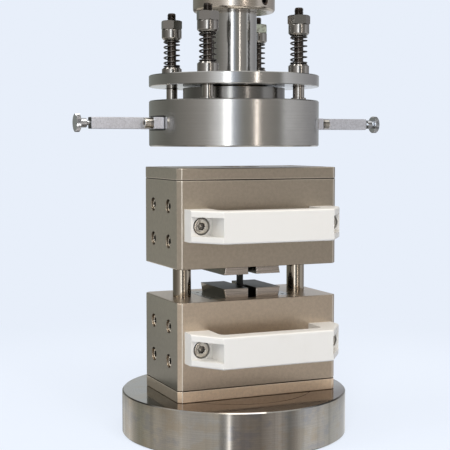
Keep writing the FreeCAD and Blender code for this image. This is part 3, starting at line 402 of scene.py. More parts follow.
@dataclass(frozen=True)
class Streaked(Turned):
    """The lower platen's steel: turned, then marked by cleaning and handling down its rim."""

    streak_scale: float = 9.0
    streak_dark: float = 0.3
    streak_shade: float = 0.5
    cloud_stretch: tuple[float, float, float] = (38.0, 38.0, 60.0)
    brown: Colour = (0.33, 0.285, 0.225, 1.0)
    blue: Colour = (0.24, 0.25, 0.28, 1.0)
    # the dark brown of a painted reflection on the front of the top face
    oil: Colour = (0.113, 0.072, 0.046, 1.0)
    oil_cover: float = 0.92
    oil_from: tuple[float, float] = (0.02, 0.06)
    top: float = 0.038

    def finished(self, graph: Graph, tone: Value, rough: Value, normal: Value) -> Inputs:
        """Streaks run down the rim, because they change with the angle and hardly with the height.

        Args:
            graph: the material's node tree.
            tone: the colour so far.
            rough: the roughness so far.
            normal: the normal.

        Returns:
            The shader's inputs, by socket.
        """
        place = graph.place()
        x, y, z = graph.axes(place)
        streak = graph.noise_along(y.angle_to(x), self.streak_scale, 3.0)
        dark = streak.between(0.42, 0.72) * self.streak_dark
        cloud = graph.noise(graph.mapped(place, self.cloud_stretch), 1.0, 5.0, 0.62)
        warmed = graph.blend(cloud.between(0.50, 0.62) * 0.55, tone, self.brown)
        cooled = graph.blend((1 - cloud).between(0.52, 0.66) * 0.6, warmed, self.blue)
        on_top = z.between(self.top - 3 * TENTH, self.top - TENTH)
        # painted reflection: the top face towards the front is blended to dark brown, for the cover's front
        # mirrored in it
        painted_reflection = (0 - y).between(*self.oil_from) * on_top * self.oil_cover
        shaded_and_oiled = graph.blend(painted_reflection, cooled, self.oil)
        streaked = graph.blend(dark * (1 - on_top), shaded_and_oiled, shade(self.tone, self.streak_shade))
        return looks(streaked, rough + dark * 0.08 + cloud.swing(0.10), normal)


@dataclass(frozen=True)
class Ground(Finish):
    """Steel from the surface grinder, with straight fine lines along one direction.

    The lower wedges' tops get painted shade, and their fronts get painted light.
    """

    stretch: tuple[float, float, float] = (40.0, 1400.0, 1400.0)
    line_depth: float = 0.000010
    cloud_shade: float = 0.78
    dark_top: float = 0.131
    # near-black painted shade for the tops
    skin: Colour = (0.04, 0.042, 0.034, 1.0)
    # where the fronts get painted light, and its colour
    pale_front: float = 0.029
    pale: Colour = (0.62, 0.55, 0.50, 1.0)

    def surface(self, graph: Graph) -> Inputs:
        """Grinding lines with cloudy patches over them.

        Args:
            graph: the material's node tree.

        Returns:
            The shader's inputs, by socket.
        """
        place = graph.place()
        _, y, z = graph.axes(place)
        lines = graph.noise(graph.mapped(place, self.stretch), 1.0, 3.0, 0.6)
        cloud = graph.noise(place, 34.0, 3.0)
        tone = self.grained(graph, lines, 0.82, 1.16)
        clouded = graph.blend(cloud.between(0.4, 0.8) * 0.4, tone, shade(self.tone, self.cloud_shade))
        # painted shade: the top face goes near-black and rougher
        top = 1 - (z - self.dark_top).absolute().between(TENTH, 2 * TENTH)
        top_shaded = graph.blend(top * 0.9, clouded, self.skin)
        # painted light: the front face is lightened, more where the grinding lines are light
        front = (0 - y).between(self.pale_front - 3 * TENTH, self.pale_front - TENTH)
        front_lit = graph.blend(front * (lines.between(0.35, 0.65) * 0.5 + 0.5), top_shaded, self.pale)
        rough = self.roughness + lines.swing(0.14) + cloud.swing(0.12) + top * 0.2
        return looks(front_lit, rough, graph.bump(lines, self.line_depth))


@dataclass(frozen=True)
class Plated(Finish):
    """Nickel plate over blasted steel: a fine even grain, warm, with soft clouds.

    Oil has gathered in the joints below the covers, and painted shade darkens the bores. Painted
    highlights lie along the edges of the upright chamfers and beside the joints. The side faces get
    their own painted light and shade, which changes from foot to head.
    """

    grain_scale: float = 2600.0
    grain_depth: float = 0.000008
    mottle_scale: float = 340.0
    mottle_dark: float = 0.09
    cloud_tone: Colour = (0.2, 0.2, 0.2, 1.0)
    # painted light and shade of the left and right faces, at the foot and at the head
    side_foot: Colour = (0.64, 0.58, 0.50, 1.0)
    side_head: Colour = (0.64, 0.58, 0.50, 1.0)
    side_heights: tuple[float, float] = (0.05, 0.155)
    # colour of the painted highlights
    rubbed: Colour = (0.86, 0.81, 0.72, 1.0)
    # oil in the joints and the mottle, and painted shade in the bores
    oil: Colour = (0.045, 0.03, 0.022, 1.0)
    hole_reach: float = 0.006
    joints: tuple[float, float] = (0.048, 0.226)
    box_centre: tuple[float, float] = (0.005, -0.002)
    box_half: tuple[float, float] = (0.075, 0.042)
    chamfer: float = 0.0035

    def rub(self, across: Value, along: Value) -> Value:
        """1 on the edges where the upright chamfers meet the front and back, which get a painted highlight,
        and 0 away from them.

        Args:
            across: how far a point is from the box's middle, to the side.
            along: how far it is from the middle, to the front or back.

        Returns:
            The share that gets the painted highlight.
        """
        edge = (across - (self.box_half[0] - self.chamfer)).absolute()
        on_face = along.between(self.box_half[1] - 6 * TENTH, self.box_half[1] - 3 * TENTH)
        return (1 - edge.between(2.5 * TENTH, 6 * TENTH)) * on_face

    def with_sides(self, graph: Graph, across: Value, height: Value, tone: Value) -> Value:
        """The tone, replaced on the left and right faces by painted light and shade that changes with the
        height.

        Args:
            graph: the material's node tree.
            across: how far a point is from the box's middle, to the side.
            height: its height.
            tone: the colour so far.

        Returns:
            The colour.
        """
        # painted light and shade on the left and right faces
        side = across.between(self.box_half[0] - 4 * TENTH, self.box_half[0] - 2 * TENTH)
        painted_side_tone = graph.blend(height.between(*self.side_heights), self.side_foot, self.side_head)
        return graph.blend(side, tone, painted_side_tone)

    def surface(self, graph: Graph) -> Inputs:
        """Fine grain for the sparkle, a mottle of a few millimetres, and slow clouds of tone.

        Args:
            graph: the material's node tree.

        Returns:
            The shader's inputs, by socket.
        """
        place = graph.place()
        x, y, z = graph.axes(place)
        across, along = (x - self.box_centre[0]).absolute(), (y - self.box_centre[1]).absolute()
        grain = graph.noise(place, self.grain_scale, 2.0, 0.7)
        cloud = graph.noise(place, 13.0, 4.0, 0.6)
        mottle = graph.noise(place, self.mottle_scale, 3.0, 0.6).between(0.35, 0.65) * self.mottle_dark
        low, high = ((z - joint).absolute() for joint in self.joints)
        joint = low.minimum(high)
        in_joint = 1 - joint.between(3.2 * TENTH, 5 * TENTH)
        # painted highlight: thin light lines either side of each joint
        beside = joint.between(4 * TENTH, 5.5 * TENTH) * (1 - joint.between(8 * TENTH, 13 * TENTH))
        # painted shade: bores and counterbores, found by local occlusion
        in_hole = 1 - graph.open_sky(self.hole_reach).between(0.66, 0.94)
        # painted highlight along the chamfer edges and beside the joints
        bright = self.rub(across, along).maximum(beside * 0.4) * (1 - in_joint)
        tone = self.grained(graph, grain, 0.93, 1.07)
        clouded = graph.blend(cloud.between(0.35, 0.75) * 0.6, tone, self.cloud_tone)
        mottled = graph.blend(mottle, self.with_sides(graph, across, z, clouded), self.oil)
        highlighted = graph.blend(bright * 0.8, mottled, self.rubbed)
        # oil in the joints, and painted shade in the bores
        shaded_and_oiled = graph.blend((in_joint * 0.9).maximum(in_hole * 0.92), highlighted, self.oil)
        rough = self.roughness + grain.swing(0.16) + cloud.swing(0.10) + bright * 0.12
        return looks(shaded_and_oiled, rough, graph.bump(grain, self.grain_depth))


@dataclass(frozen=True)
class Polished(Finish):
    """Hardened and polished steel, with faint lengthwise wear from sliding."""

    wear_stretch: tuple[float, float, float] = (700.0, 700.0, 18.0)
    wear_depth: float = 0.0000015

    def surface(self, graph: Graph) -> Inputs:
        """Faint wear lines in an almost mirror-like surface.

        Args:
            graph: the material's node tree.

        Returns:
            The shader's inputs, by socket.
        """
        place = graph.place()
        wear = graph.noise(graph.mapped(place, self.wear_stretch), 1.0, 2.0)
        rough = self.roughness + wear.swing(0.05) + graph.noise(place, 60.0, 3.0).swing(0.06)
        return looks(self.grained(graph, wear, 0.92, 1.08), rough, graph.bump(wear, self.wear_depth))


@dataclass(frozen=True)
class Oiled(Finish):
    """Dark oily steel, brown in places, as on threads and springs."""

    rust: Colour = (0.10, 0.05, 0.03, 1.0)
    patch_scale: float = 420.0
    patch_depth: float = 0.00002

    def surface(self, graph: Graph) -> Inputs:
        """Brown patches in a dark oily coat.

        Args:
            graph: the material's node tree.

        Returns:
            The shader's inputs, by socket.
        """
        patch = graph.noise(graph.place(), self.patch_scale, 3.0, 0.6)
        mask = patch.between(0.42, 0.72)
        tone = graph.blend(mask * 0.8, self.tone, self.rust)
        return looks(tone, self.roughness + mask * 0.18, graph.bump(patch, self.patch_depth))


@dataclass(frozen=True)
class Threaded(Oiled):
    """The studs' steel: drawn bright below the flange, and dark and oily in the thread above it."""

    bright: Colour = (0.34, 0.32, 0.295, 1.0)
    dark_from: float = 0.306

    def surface(self, graph: Graph) -> Inputs:
        """The oily coat, which gives way to clean metal below one height.

        Args:
            graph: the material's node tree.

        Returns:
            The shader's inputs, by socket.
        """
        inputs = super().surface(graph)
        above = graph.axes(graph.place())[2].between(self.dark_from - MM, self.dark_from)
        inputs["Base Color"] = graph.blend(above, self.bright, inputs["Base Color"])
        inputs["Roughness"] = inputs["Roughness"] * (above * 0.5 + 0.5)
        return inputs


@dataclass(frozen=True)
class Moulded(Finish):
    """Moulded plastic: a faint orange-peel texture and a little grime in its slow clouds."""

    grime: Colour = (0.6, 0.58, 0.52, 1.0)
    skin_scale: float = 1500.0
    skin_depth: float = 0.00001
    coat: float = 0.15
    coat_rough: float = 0.25

    def surface(self, graph: Graph) -> Inputs:
        """Orange-peel texture, and grime that gathers unevenly.

        Args:
            graph: the material's node tree.

        Returns:
            The shader's inputs, by socket.
        """
        place = graph.place()
        skin = graph.noise(place, self.skin_scale, 2.0)
        cloud = graph.noise(place, 30.0, 4.0, 0.6)
        tone = graph.blend(cloud.between(0.5, 0.85) * 0.5, self.tone, self.grime)
        rough = self.roughness + skin.swing(0.12) + cloud.swing(0.1)
        coat = {"Coat Weight": self.coat, "Coat Roughness": self.coat_rough}
        return looks(tone, rough, graph.bump(skin, self.skin_depth)) | coat


@dataclass(frozen=True)
class Speckled(Finish):
    """A pale matt metal coat, with the light and dark specks of a blasted zinc surface.

    The arms' end faces get painted shade.
    """

    speck_scale: float = 900.0
    speck_depth: float = 0.00003
    cloud_shade: float = 0.8
    bare_from: float = 0.1321
    bare: Colour = (0.07, 0.072, 0.068, 1.0)

    def surface(self, graph: Graph) -> Inputs:
        """Specks of two sizes.

        Args:
            graph: the material's node tree.

        Returns:
            The shader's inputs, by socket.
        """
        place = graph.place()
        speck = graph.noise(place, self.speck_scale, 3.0, 0.75)
        cloud = graph.noise(place, 90.0, 2.0).between(0.4, 0.8) * 0.3
        tone = self.grained(graph, speck, 0.84, 1.16)
        clouded = graph.blend(cloud, tone, shade(self.tone, self.cloud_shade))
        # painted shade: the arms' end faces go near-black
        end = graph.axes(place)[0].absolute().between(self.bare_from, self.bare_from + TENTH)
        end_shaded = graph.blend(end, clouded, self.bare)
        return looks(end_shaded, self.roughness + speck.swing(0.2), graph.bump(speck, self.speck_depth))


@dataclass(frozen=True)
class Laminate(Finish):
    """Carbon laminate: fibre lines along the coupon in a black resin."""

    fibre_stretch: tuple[float, float, float] = (2600.0, 2600.0, 30.0)
    fibre_depth: float = 0.00002
    fibre_shade: float = 2.4

    def surface(self, graph: Graph) -> Inputs:
        """Fibres a little lighter than the resin.

        Args:
            graph: the material's node tree.

        Returns:
            The shader's inputs, by socket.
        """
        fibre = graph.noise(graph.mapped(graph.place(), self.fibre_stretch), 1.0, 2.0)
        tone = graph.blend(fibre.between(0.35, 0.7), self.tone, shade(self.tone, self.fibre_shade))
        return looks(tone, self.roughness + fibre * 0.1, graph.bump(fibre, self.fibre_depth))


@dataclass(frozen=True)
class Palette:
    """All finishes of the fixture: one for each material slot, and a few for single nodes."""

    turned_steel: Finish = Turned("turned_steel_fine", colour(0.46, 0.45, 0.43), 0.19)
    ground_steel: Finish = Ground("ground_steel_lines", colour(0.25, 0.235, 0.205), 0.24)
    housing_steel: Finish = Plated(
        "nickel_plate_satin", colour(0.50, 0.435, 0.357), 0.33, cloud_tone=colour(0.46, 0.405, 0.33)
    )
    post_steel: Finish = Polished("hardened_post_polish", colour(0.37, 0.325, 0.265), 0.09)
    black_steel: Finish = Oiled(
        "oiled_dark_steel", colour(0.045, 0.04, 0.036), 0.22, rust=colour(0.06, 0.04, 0.03)
    )
    spring_steel: Finish = Oiled(
        "spring_wire", colour(0.10, 0.096, 0.092), 0.12, rust=colour(0.04, 0.032, 0.025)
    )
    bright_steel: Finish = Turned(
        "plated_small_steel", colour(0.33, 0.315, 0.295), 0.13, mark_scale=900.0, mark_depth=0.0000008
    )
    bronze: Finish = Turned("seat_bronze", colour(0.52, 0.34, 0.15), 0.28)
    white_plastic: Finish = Moulded(
        "handle_plastic_white", colour(0.765, 0.745, 0.705), 0.42, 0.0, grime=colour(0.70, 0.67, 0.61)
    )
    arm_grey: Finish = Speckled("arm_blasted_zinc", colour(0.61, 0.62, 0.67), 0.42, 0.75)
    composite: Finish = Laminate("coupon_carbon", colour(0.006, 0.006, 0.0065), 0.5, 0.0)

    stud: Finish = Threaded("stud_steel", colour(0.07, 0.06, 0.053), 0.12, rust=colour(0.035, 0.025, 0.02))
    thumb_steel: Finish = Turned("zinc_thumb_screw", colour(0.62, 0.64, 0.67), 0.14, mark_scale=900.0)
    nut_steel: Finish = OddNut("nut_steel", colour(0.27, 0.255, 0.235), 0.18, mark_scale=900.0)
    screw_steel: Finish = Socketed("stainless_screw", colour(0.62, 0.585, 0.53), 0.12, mark_scale=900.0)

    lower_platen: Finish = Streaked(
        "turned_steel_streaked", colour(0.34, 0.325, 0.30), 0.09, mark_tone=0.08
    )
    # a lighter, warmer copy of the nickel plate: painted light for the warm light that the base's top
    # throws onto the lower cover; its side faces get painted shade
    lower_cover_plate: Finish = Plated(
        "nickel_plate_painted_light", colour(0.97, 0.76, 0.56), 0.45, 0.8, cloud_tone=colour(0.92, 0.71, 0.51),
        side_foot=colour(0.53, 0.46, 0.37)
    )
    # the lower housing's side faces get painted shade, darker towards the foot
    lower_housing: Finish = Plated(
        "nickel_plate_warm", colour(0.66, 0.555, 0.445), 0.33, cloud_tone=colour(0.60, 0.51, 0.41),
        side_foot=colour(0.34, 0.32, 0.285), side_head=colour(0.62, 0.575, 0.495)
    )
    upper_platen: Finish = Slotted("turned_steel_slotted", colour(0.46, 0.45, 0.43), 0.19)
    flanged_stem: Finish = Turned("turned_steel_polished", colour(0.47, 0.465, 0.45), 0.15)
    load_adapter: Finish = Turned("turned_steel_warm", colour(0.53, 0.48, 0.42), 0.25)

    def of(self, slot: str, node: str) -> Finish:
        """The finish of a node, or else of its material slot."""
        return getattr(self, node, None) or getattr(self, slot)


class Shape:
    """A mesh in the making. Each step is a bmesh operator, and sizes are in millimetres."""

    def __init__(self) -> None:
        """Starts with nothing."""
        self.bm = bmesh.new()

    def line(self, points: Sequence[tuple[float, float]], closed: bool = False) -> list[Any]:
        """Adds a line through points in the XZ plane.

        Args:
            points: radius and height of each point.
            closed: whether the last point is joined to the first.

        Returns:
            The vertices and edges.
        """
        verts = [self.bm.verts.new((r * MM, 0.0, z * MM)) for r, z in points]
        pairs = list(zip(verts, verts[1:])) + ([(verts[-1], verts[0])] if closed else [])
        return verts + [self.bm.edges.new(pair) for pair in pairs]

    def spin(self, geometry: list[Any], steps: int, turns: float = 1.0, rise: float = 0.0) -> list[Any]:
        """Spins geometry about Z.

        Args:
            geometry: the vertices and edges to spin.
            steps: how many steps the whole spin takes.
            turns: how far it goes round.
            rise: how far it climbs in all, which makes a helix.

        Returns:
            The geometry at the end of the spin.
        """
        made = bmesh.ops.spin(
            self.bm, geom=geometry, cent=(0, 0, 0), axis=(0, 0, 1), dvec=(0, 0, rise * MM / steps),
            angle=turns * 2 * math.pi, steps=steps, use_merge=turns == 1.0 and rise == 0.0,
            use_duplicate=False,
        )
        return made["geom_last"]

    def turned(self, points: Sequence[tuple[float, float]], steps: int) -> "Shape":
        """Spins a closed outline into a full turned body."""
        self.spin(self.line(points, closed=points[0][0] > 0), steps)
        return self.weld()

    def cap(self, geometry: Sequence[Any]) -> None:
        """Closes the ring of edges in some geometry with a face."""
        edges = [item for item in geometry if isinstance(item, bmesh.types.BMEdge)]
        bmesh.ops.contextual_create(self.bm, geom=edges)

    def weld(self) -> "Shape":
        """Joins doubled vertices and turns all faces outwards.

        Returns:
            The shape itself.
        """
        bmesh.ops.remove_doubles(self.bm, verts=self.bm.verts, dist=WELD_DISTANCE)
        bmesh.ops.recalc_face_normals(self.bm, faces=self.bm.faces)
        return self

    def bevel(self, edges: Sequence[Any], width: float, segments: int) -> None:
        """Bevels the given edges.

        Args:
            edges: the edges.
            width: how far the bevel cuts back.
            segments: how many facets it has.
        """
        bmesh.ops.bevel(
            self.bm, geom=edges, offset=width * MM, offset_type="OFFSET", segments=segments, profile=0.5,
            affect="EDGES", clamp_overlap=True, material=-1,
        )

    def soften(self, width: float, shortest: float) -> "Shape":
        """Rounds every sharp edge that is longer than the shortest one wanted.

        Args:
            width: how far the rounding cuts back.
            shortest: the length that an edge must pass.

        Returns:
            The shape itself.
        """
        sharp = [
            edge for edge in self.bm.edges
            if len(edge.link_faces) == 2 and edge.calc_face_angle() > SHARP_ANGLE
            and edge.calc_length() > shortest * MM
        ]
        self.bevel(sharp, width, 2)
        return self

    def copy_of(self, node: str) -> "Shape":
        """Takes a merged copy of a node's mesh, with its flat faces made whole.

        Args:
            node: the node.

        Returns:
            The shape itself.
        """
        self.bm.from_mesh(frame["nodes"][node].data)
        self.weld()
        bmesh.ops.dissolve_limit(
            self.bm, angle_limit=FLAT_ANGLE, verts=self.bm.verts, edges=self.bm.edges, delimit=set()
        )
        return self

    def move(self, matrix: Matrix) -> "Shape":
        """Moves everything made so far."""
        bmesh.ops.transform(self.bm, matrix=matrix, verts=self.bm.verts)
        return self

    def join(self, other: "Shape") -> "Shape":
        """Takes in another shape, which is used up.

        Args:
            other: the other shape.

        Returns:
            The shape itself.
        """
        mesh = bpy.data.meshes.new("joined")
        other.bm.to_mesh(mesh)
        self.bm.from_mesh(mesh)
        other.bm.free()
        bpy.data.meshes.remove(mesh)
        return self

    def piece(self, name: str, body: str, slot: str, finish: Finish, *nodes: str) -> None:
        """Turns the shape into a finished piece of the scene, which uses the shape up.

        Args:
            name: the piece's name.
            body: the body that it rides on.
            slot: the record's material slot, which is not used.
            finish: what it looks like.
            nodes: the nodes that it stands for.
        """
        for face in self.bm.faces:
            face.smooth = True
        for edge in self.bm.edges:
            edge.smooth = len(edge.link_faces) == 2 and edge.calc_face_angle() < SHARP_ANGLE
        mesh = bpy.data.meshes.new(name)
        self.bm.to_mesh(mesh)
        self.bm.free()
        mesh.materials.append(finish.material())
        made = in_scene(name, mesh)
        made.modifiers.new("flat_faces", "WEIGHTED_NORMAL").keep_sharp = True
        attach(made, body)
        if nodes:
            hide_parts(*nodes)
        log.info("piece %s: %d faces, on %s", name, len(mesh.polygons), body)


def in_scene(name: str, data: bpy.types.ID) -> bpy.types.Object:
    """A new object in the scene, with the given mesh, lamp or camera.

    Args:
        name: the object's name.
        data: its mesh, lamp or camera.

    Returns:
        The object.
    """
    made = bpy.data.objects.new(name, data)
    bpy.context.scene.collection.objects.link(made)
    return made


def middle(node: str) -> Vector:
    """The centre of a node's box."""
    low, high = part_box(node)
    return (low + high) / 2


class Way(Enum):
    """Which way a screw head looks."""

    UP = Matrix.Identity(4)
    FRONT = Matrix.Rotation(math.pi / 2, 4, "X")
    LEFT = Matrix.Rotation(-math.pi / 2, 4, "Y")
    RIGHT = Matrix.Rotation(math.pi / 2, 4, "Y")


def side_way(sign: int) -> Way:
    """The way that looks to the left for -1 and to the right for 1."""
    return Way.RIGHT if sign > 0 else Way.LEFT


def to_hexagon(vert: Any, flat: float, radius: float) -> None:
    """Moves a vertex of a ring outwards onto a hexagon.

    Args:
        vert: the vertex.
        flat: the hexagon's width across its flats.
        radius: the largest radius that the vertex may get.
    """
    sixth = math.pi / 3
    off_flat = math.atan2(vert.co.y, vert.co.x) % sixth - sixth / 2
    vert.co.xy = vert.co.xy.normalized() * min(flat / 2 / math.cos(off_flat), radius) * MM


@dataclass
class CapScrew:
    """A socket-head cap screw, drawn with its head's seat at the origin and its head up."""

    shank: float
    head: float
    height: float
    socket: float
    length: float
    rim: float = 0.8
    rim_round: float = 0.3
    tip: float = 0.8
    mouth: float = 0.3
    mouth_play: float = 0.12
    socket_share: float = 0.42
    socket_cone: float = 0.45
    facets: int = 48

    def shape(self) -> Shape:
        """Head with a rounded rim and a hexagon socket with a turned mouth, on a plain shank.

        Returns:
            The screw.
        """
        shank, radius, top, flat = self.shank / 2, self.head / 2, self.height, self.socket / 2
        corner = flat / math.cos(math.pi / 6) + self.mouth_play
        bottom = top - self.height * self.socket_share
        rounding = self.rim * self.rim_round
        made = Shape().turned([
            (0, -self.length), (shank * self.tip, -self.length), (shank, -self.length + self.tip),
            (shank, 0), (radius, 0), (radius, top - self.rim), (radius - rounding, top - rounding),
            (radius - self.rim, top), (corner, top), (flat, top - self.mouth), (flat, bottom),
            (0, bottom - flat * self.socket_cone),
        ], self.facets)
        for vert in made.bm.verts:
            if vert.co.z > bottom * MM - ON_RING and abs(vert.co.xy.length - flat * MM) < ON_RING:
                to_hexagon(vert, self.socket, corner)
        return made


@dataclass
class ScrewSet:
    """All screws of one node, put where the node's solids are."""

    node: str
    body: str
    screw: CapScrew
    seats: list[tuple[Way, Point]]
    first_turn: float = 0.3
    turn_step: float = 1.7

    def build(self, palette: Palette) -> None:
        """Makes every screw of the set as one piece, each turned a little further.

        Args:
            palette: the fixture's finishes.
        """
        made = Shape()
        for index, (way, seat) in enumerate(self.seats, 1):
            turn = Matrix.Rotation(self.first_turn + self.turn_step * index, 4, "Z")
            made.join(self.screw.shape().move(Matrix.Translation(Vector(seat) * MM) @ way.value @ turn))
        made.piece(self.node + "_detail", self.body, "black_steel", palette.screw_steel, self.node)


@dataclass
class Fasteners:
    """The fixture's socket-head screws, by where the seats of their heads are."""

    box_x: float = 5.0
    box_y: float = -2.0
    handle_x: float = 60.0
    handle_y: float = -50.4
    handle_screw: CapScrew = field(default_factory=lambda: CapScrew(8, 13, 8, 6, 20))
    side_x: float = 67.8
    side_y: float = 18.5
    side_z: float = 15.0
    side_screw: CapScrew = field(default_factory=lambda: CapScrew(6, 10, 6, 5, 40))
    cover_x: float = 63.0
    cover_y: float = 30.0
    cover_sink: float = 6.6
    cover_screw: CapScrew = field(default_factory=lambda: CapScrew(6, 10, 6, 5, 16))
    arm_x: float = 83.3
    arm_y: float = 12.0
    arm_screw: CapScrew = field(default_factory=lambda: CapScrew(5, 8.5, 5, 4, 20))

    def handle_set(self, block: str, body: str) -> ScrewSet:
        """The two screws of a handle.

        Args:
            block: lower or upper.
            body: the block's body.

        Returns:
            The screws.
        """
        height = middle(block + "_handle").z / MM
        seats = [(Way.FRONT, (self.box_x + self.handle_x * sign, self.handle_y, height)) for sign in SIDES]
        return ScrewSet(block + "_handle_screws", body, self.handle_screw, seats)

    def side_set(self, block: str, body: str) -> ScrewSet:
        """The four screws in each side of a housing.

        Args:
            block: lower or upper.
            body: the block's body.

        Returns:
            The screws.
        """
        height = middle(block + "_housing").z / MM
        spots = [(self.box_y + self.side_y * sy, height + self.side_z * sz) for sy in SIDES for sz in SIDES]
        seats = [(side_way(sx), (self.box_x + self.side_x * sx, y, z)) for sx in SIDES for y, z in spots]
        return ScrewSet(block + "_seat_screws", body, self.side_screw, seats)

    def cover_set(self) -> ScrewSet:
        """The four screws in the top cover plate.

        Returns:
            The screws.
        """
        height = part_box("upper_cover_plate")[1].z / MM - self.cover_sink
        seats = [
            (Way.UP, (self.box_x + self.cover_x * sx, self.box_y + self.cover_y * sy, height))
            for sx in SIDES for sy in SIDES
        ]
        return ScrewSet("upper_cover_screws", "upper_block", self.cover_screw, seats)

    def arm_set(self, sign: int) -> ScrewSet:
        """The two screws of an arm's foot.

        Args:
            sign: -1 for the left arm and 1 for the right.

        Returns:
            The screws.
        """
        side = SIDE_NAMES[sign]
        height = middle("arm_" + side).z / MM
        seats = [(side_way(sign), (self.arm_x * sign, self.arm_y * sy, height)) for sy in SIDES]
        return ScrewSet("arm_screws_" + side, "aligning_platen", self.arm_screw, seats)

    def build(self, palette: Palette) -> None:
        """Makes every visible set.

        Args:
            palette: the fixture's finishes.
        """
        for block, body in (("lower", "base"), ("upper", "upper_block")):
            self.handle_set(block, body).build(palette)
            self.side_set(block, body).build(palette)
        self.cover_set().build(palette)
        for sign in SIDES:
            self.arm_set(sign).build(palette)


@dataclass
class SpringStack:
    """One of the four spring stacks: a threaded stud and the coil spring about it."""

    index: int
    wire: float = 1.4
    coil: float = 13.6
    turns: float = 4.6
    closed_turns: float = 0.9
    closed_pitch: float = 0.55
    start_angle: float = math.radians(-10.0)
    wire_facets: int = 12
    coil_steps: int = 48
    fewest_steps: int = 4
    shank: float = 10.0
    ring: float = 6.5
    ring_from: float = 15.0
    ring_to: float = 17.0
    ring_trim: float = 0.3
    shoulder: float = 41.25
    facets: int = 48
    thread: float = 8.0
    thread_top: float = 24.0
    thread_depth: float = 0.6
    thread_lead: float = 0.3
    thread_runout: float = 1.6
    thread_steps: int = 32
    pitch: float = 1.25
    ridge_share: float = 0.44
    ridge_sink: float = 0.05
    crest_half: float = 0.1
    crest_sink: float = 0.04

    def wire_shape(self, turned: float, risen: float, spans: Sequence[tuple[float, float]]) -> Shape:
        """A round wire coiled about the axis, with both ends closed.

        Args:
            turned: how many turns round the wire starts.
            risen: how high its middle starts.
            spans: turns and rise of each length of wire.

        Returns:
            The coiled wire.
        """
        made = Shape()
        start = Matrix.Translation((0, 0, risen * MM)) @ Matrix.Rotation(turned * 2 * math.pi, 4, "Z")
        across = Matrix.Translation((self.coil / 2 * MM, 0, 0)) @ Matrix.Rotation(math.pi / 2, 4, "X")
        ring = bmesh.ops.create_circle(
            made.bm, cap_ends=True, segments=self.wire_facets, radius=self.wire / 2 * MM,
            matrix=start @ across,
        )["verts"]
        geometry = list(ring) + list({edge for vert in ring for edge in vert.link_edges})
        for turns, rise in spans:
            steps = max(self.fewest_steps, int(self.coil_steps * turns))
            geometry = made.spin(geometry, steps, turns, rise)
        made.cap(geometry)
        return made.weld()

    def spring_shapes(self) -> tuple[Shape, Shape]:
        """The lower and upper half of the spring, so that each can stay with its own end's body.

        Returns:
            The lower half and the upper half.
        """
        low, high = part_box("spring_%d" % self.index)
        end = (self.closed_turns, self.closed_turns * self.wire * self.closed_pitch)
        half = (self.turns / 2, ((high.z - low.z) / MM - self.wire - 2 * end[1]) / 2)
        lower = self.wire_shape(0.0, self.wire / 2, (end, half))
        upper = self.wire_shape(end[0] + half[0], self.wire / 2 + end[1] + half[1], (half, end))
        return lower, upper

    def thread_shape(self, core: float, crest: float, start: float) -> Shape:
        """The helical ridge of the stud's thread.

        Args:
            core: the radius at the thread's foot.
            crest: the radius at its crest.
            start: the height where it begins.

        Returns:
            The ridge, closed at both ends.
        """
        made = Shape()
        foot, half, level = core - self.ridge_sink, self.pitch * self.ridge_share, start + self.thread_lead
        ridge = made.line([
            (foot, level - half), (crest, level - self.crest_half), (crest, level + self.crest_half),
            (foot, level + half),
        ], closed=True)
        turns = (self.thread_top - self.thread_runout) / self.pitch
        made.cap(ridge)
        made.cap(made.spin(ridge, int(self.thread_steps * turns), turns, turns * self.pitch))
        return made.weld()

    def stud_shape(self) -> Shape:
        """The stud: plain below, with a helical thread round a thinner core above.

        Returns:
            The stud, at its own height.
        """
        low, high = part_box("stud_%d" % self.index)
        length = (high.z - low.z) / MM
        start = length - self.thread_top
        shank, outer, ring = self.shank / 2, self.thread / 2, self.ring - self.ring_trim
        depth = self.thread_depth
        core = outer - depth
        made = Shape().turned([
            (0, 0), (shank, 0), (shank, self.ring_from), (ring, self.ring_from),
            (self.ring, self.ring_from + self.ring_trim), (self.ring, self.ring_to - self.ring_trim),
            (ring, self.ring_to), (shank, self.ring_to), (shank, self.shoulder), (outer, self.shoulder),
            (outer, start - depth), (core, start), (core, length - depth), (core - depth, length),
            (0, length),
        ], self.facets)
        made.join(self.thread_shape(core, outer - self.crest_sink, start))
        return made.move(Matrix.Translation((0, 0, low.z)))

    def build(self, palette: Palette) -> None:
        """Makes the spring, split at mid-height for the platen's tilt, and the stud.

        Args:
            palette: the fixture's finishes.
        """
        spring, stud = "spring_%d" % self.index, "stud_%d" % self.index
        axis = middle(stud)
        at = Matrix.Translation((axis.x, axis.y, 0.0))
        turn = Matrix.Rotation(self.start_angle, 4, "Z")
        place = at @ Matrix.Translation((0, 0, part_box(spring)[0].z)) @ turn
        lower, upper = (shape.move(place) for shape in self.spring_shapes())
        finish = palette.spring_steel
        lower.piece("coil_%d_lower" % self.index, "head", "spring_steel", finish, spring)
        upper.piece("coil_%d_upper" % self.index, "aligning_platen", "spring_steel", finish)
        name = "threaded_stud_%d" % self.index
        self.stud_shape().move(at).piece(name, "aligning_platen", "black_steel", palette.stud, stud)


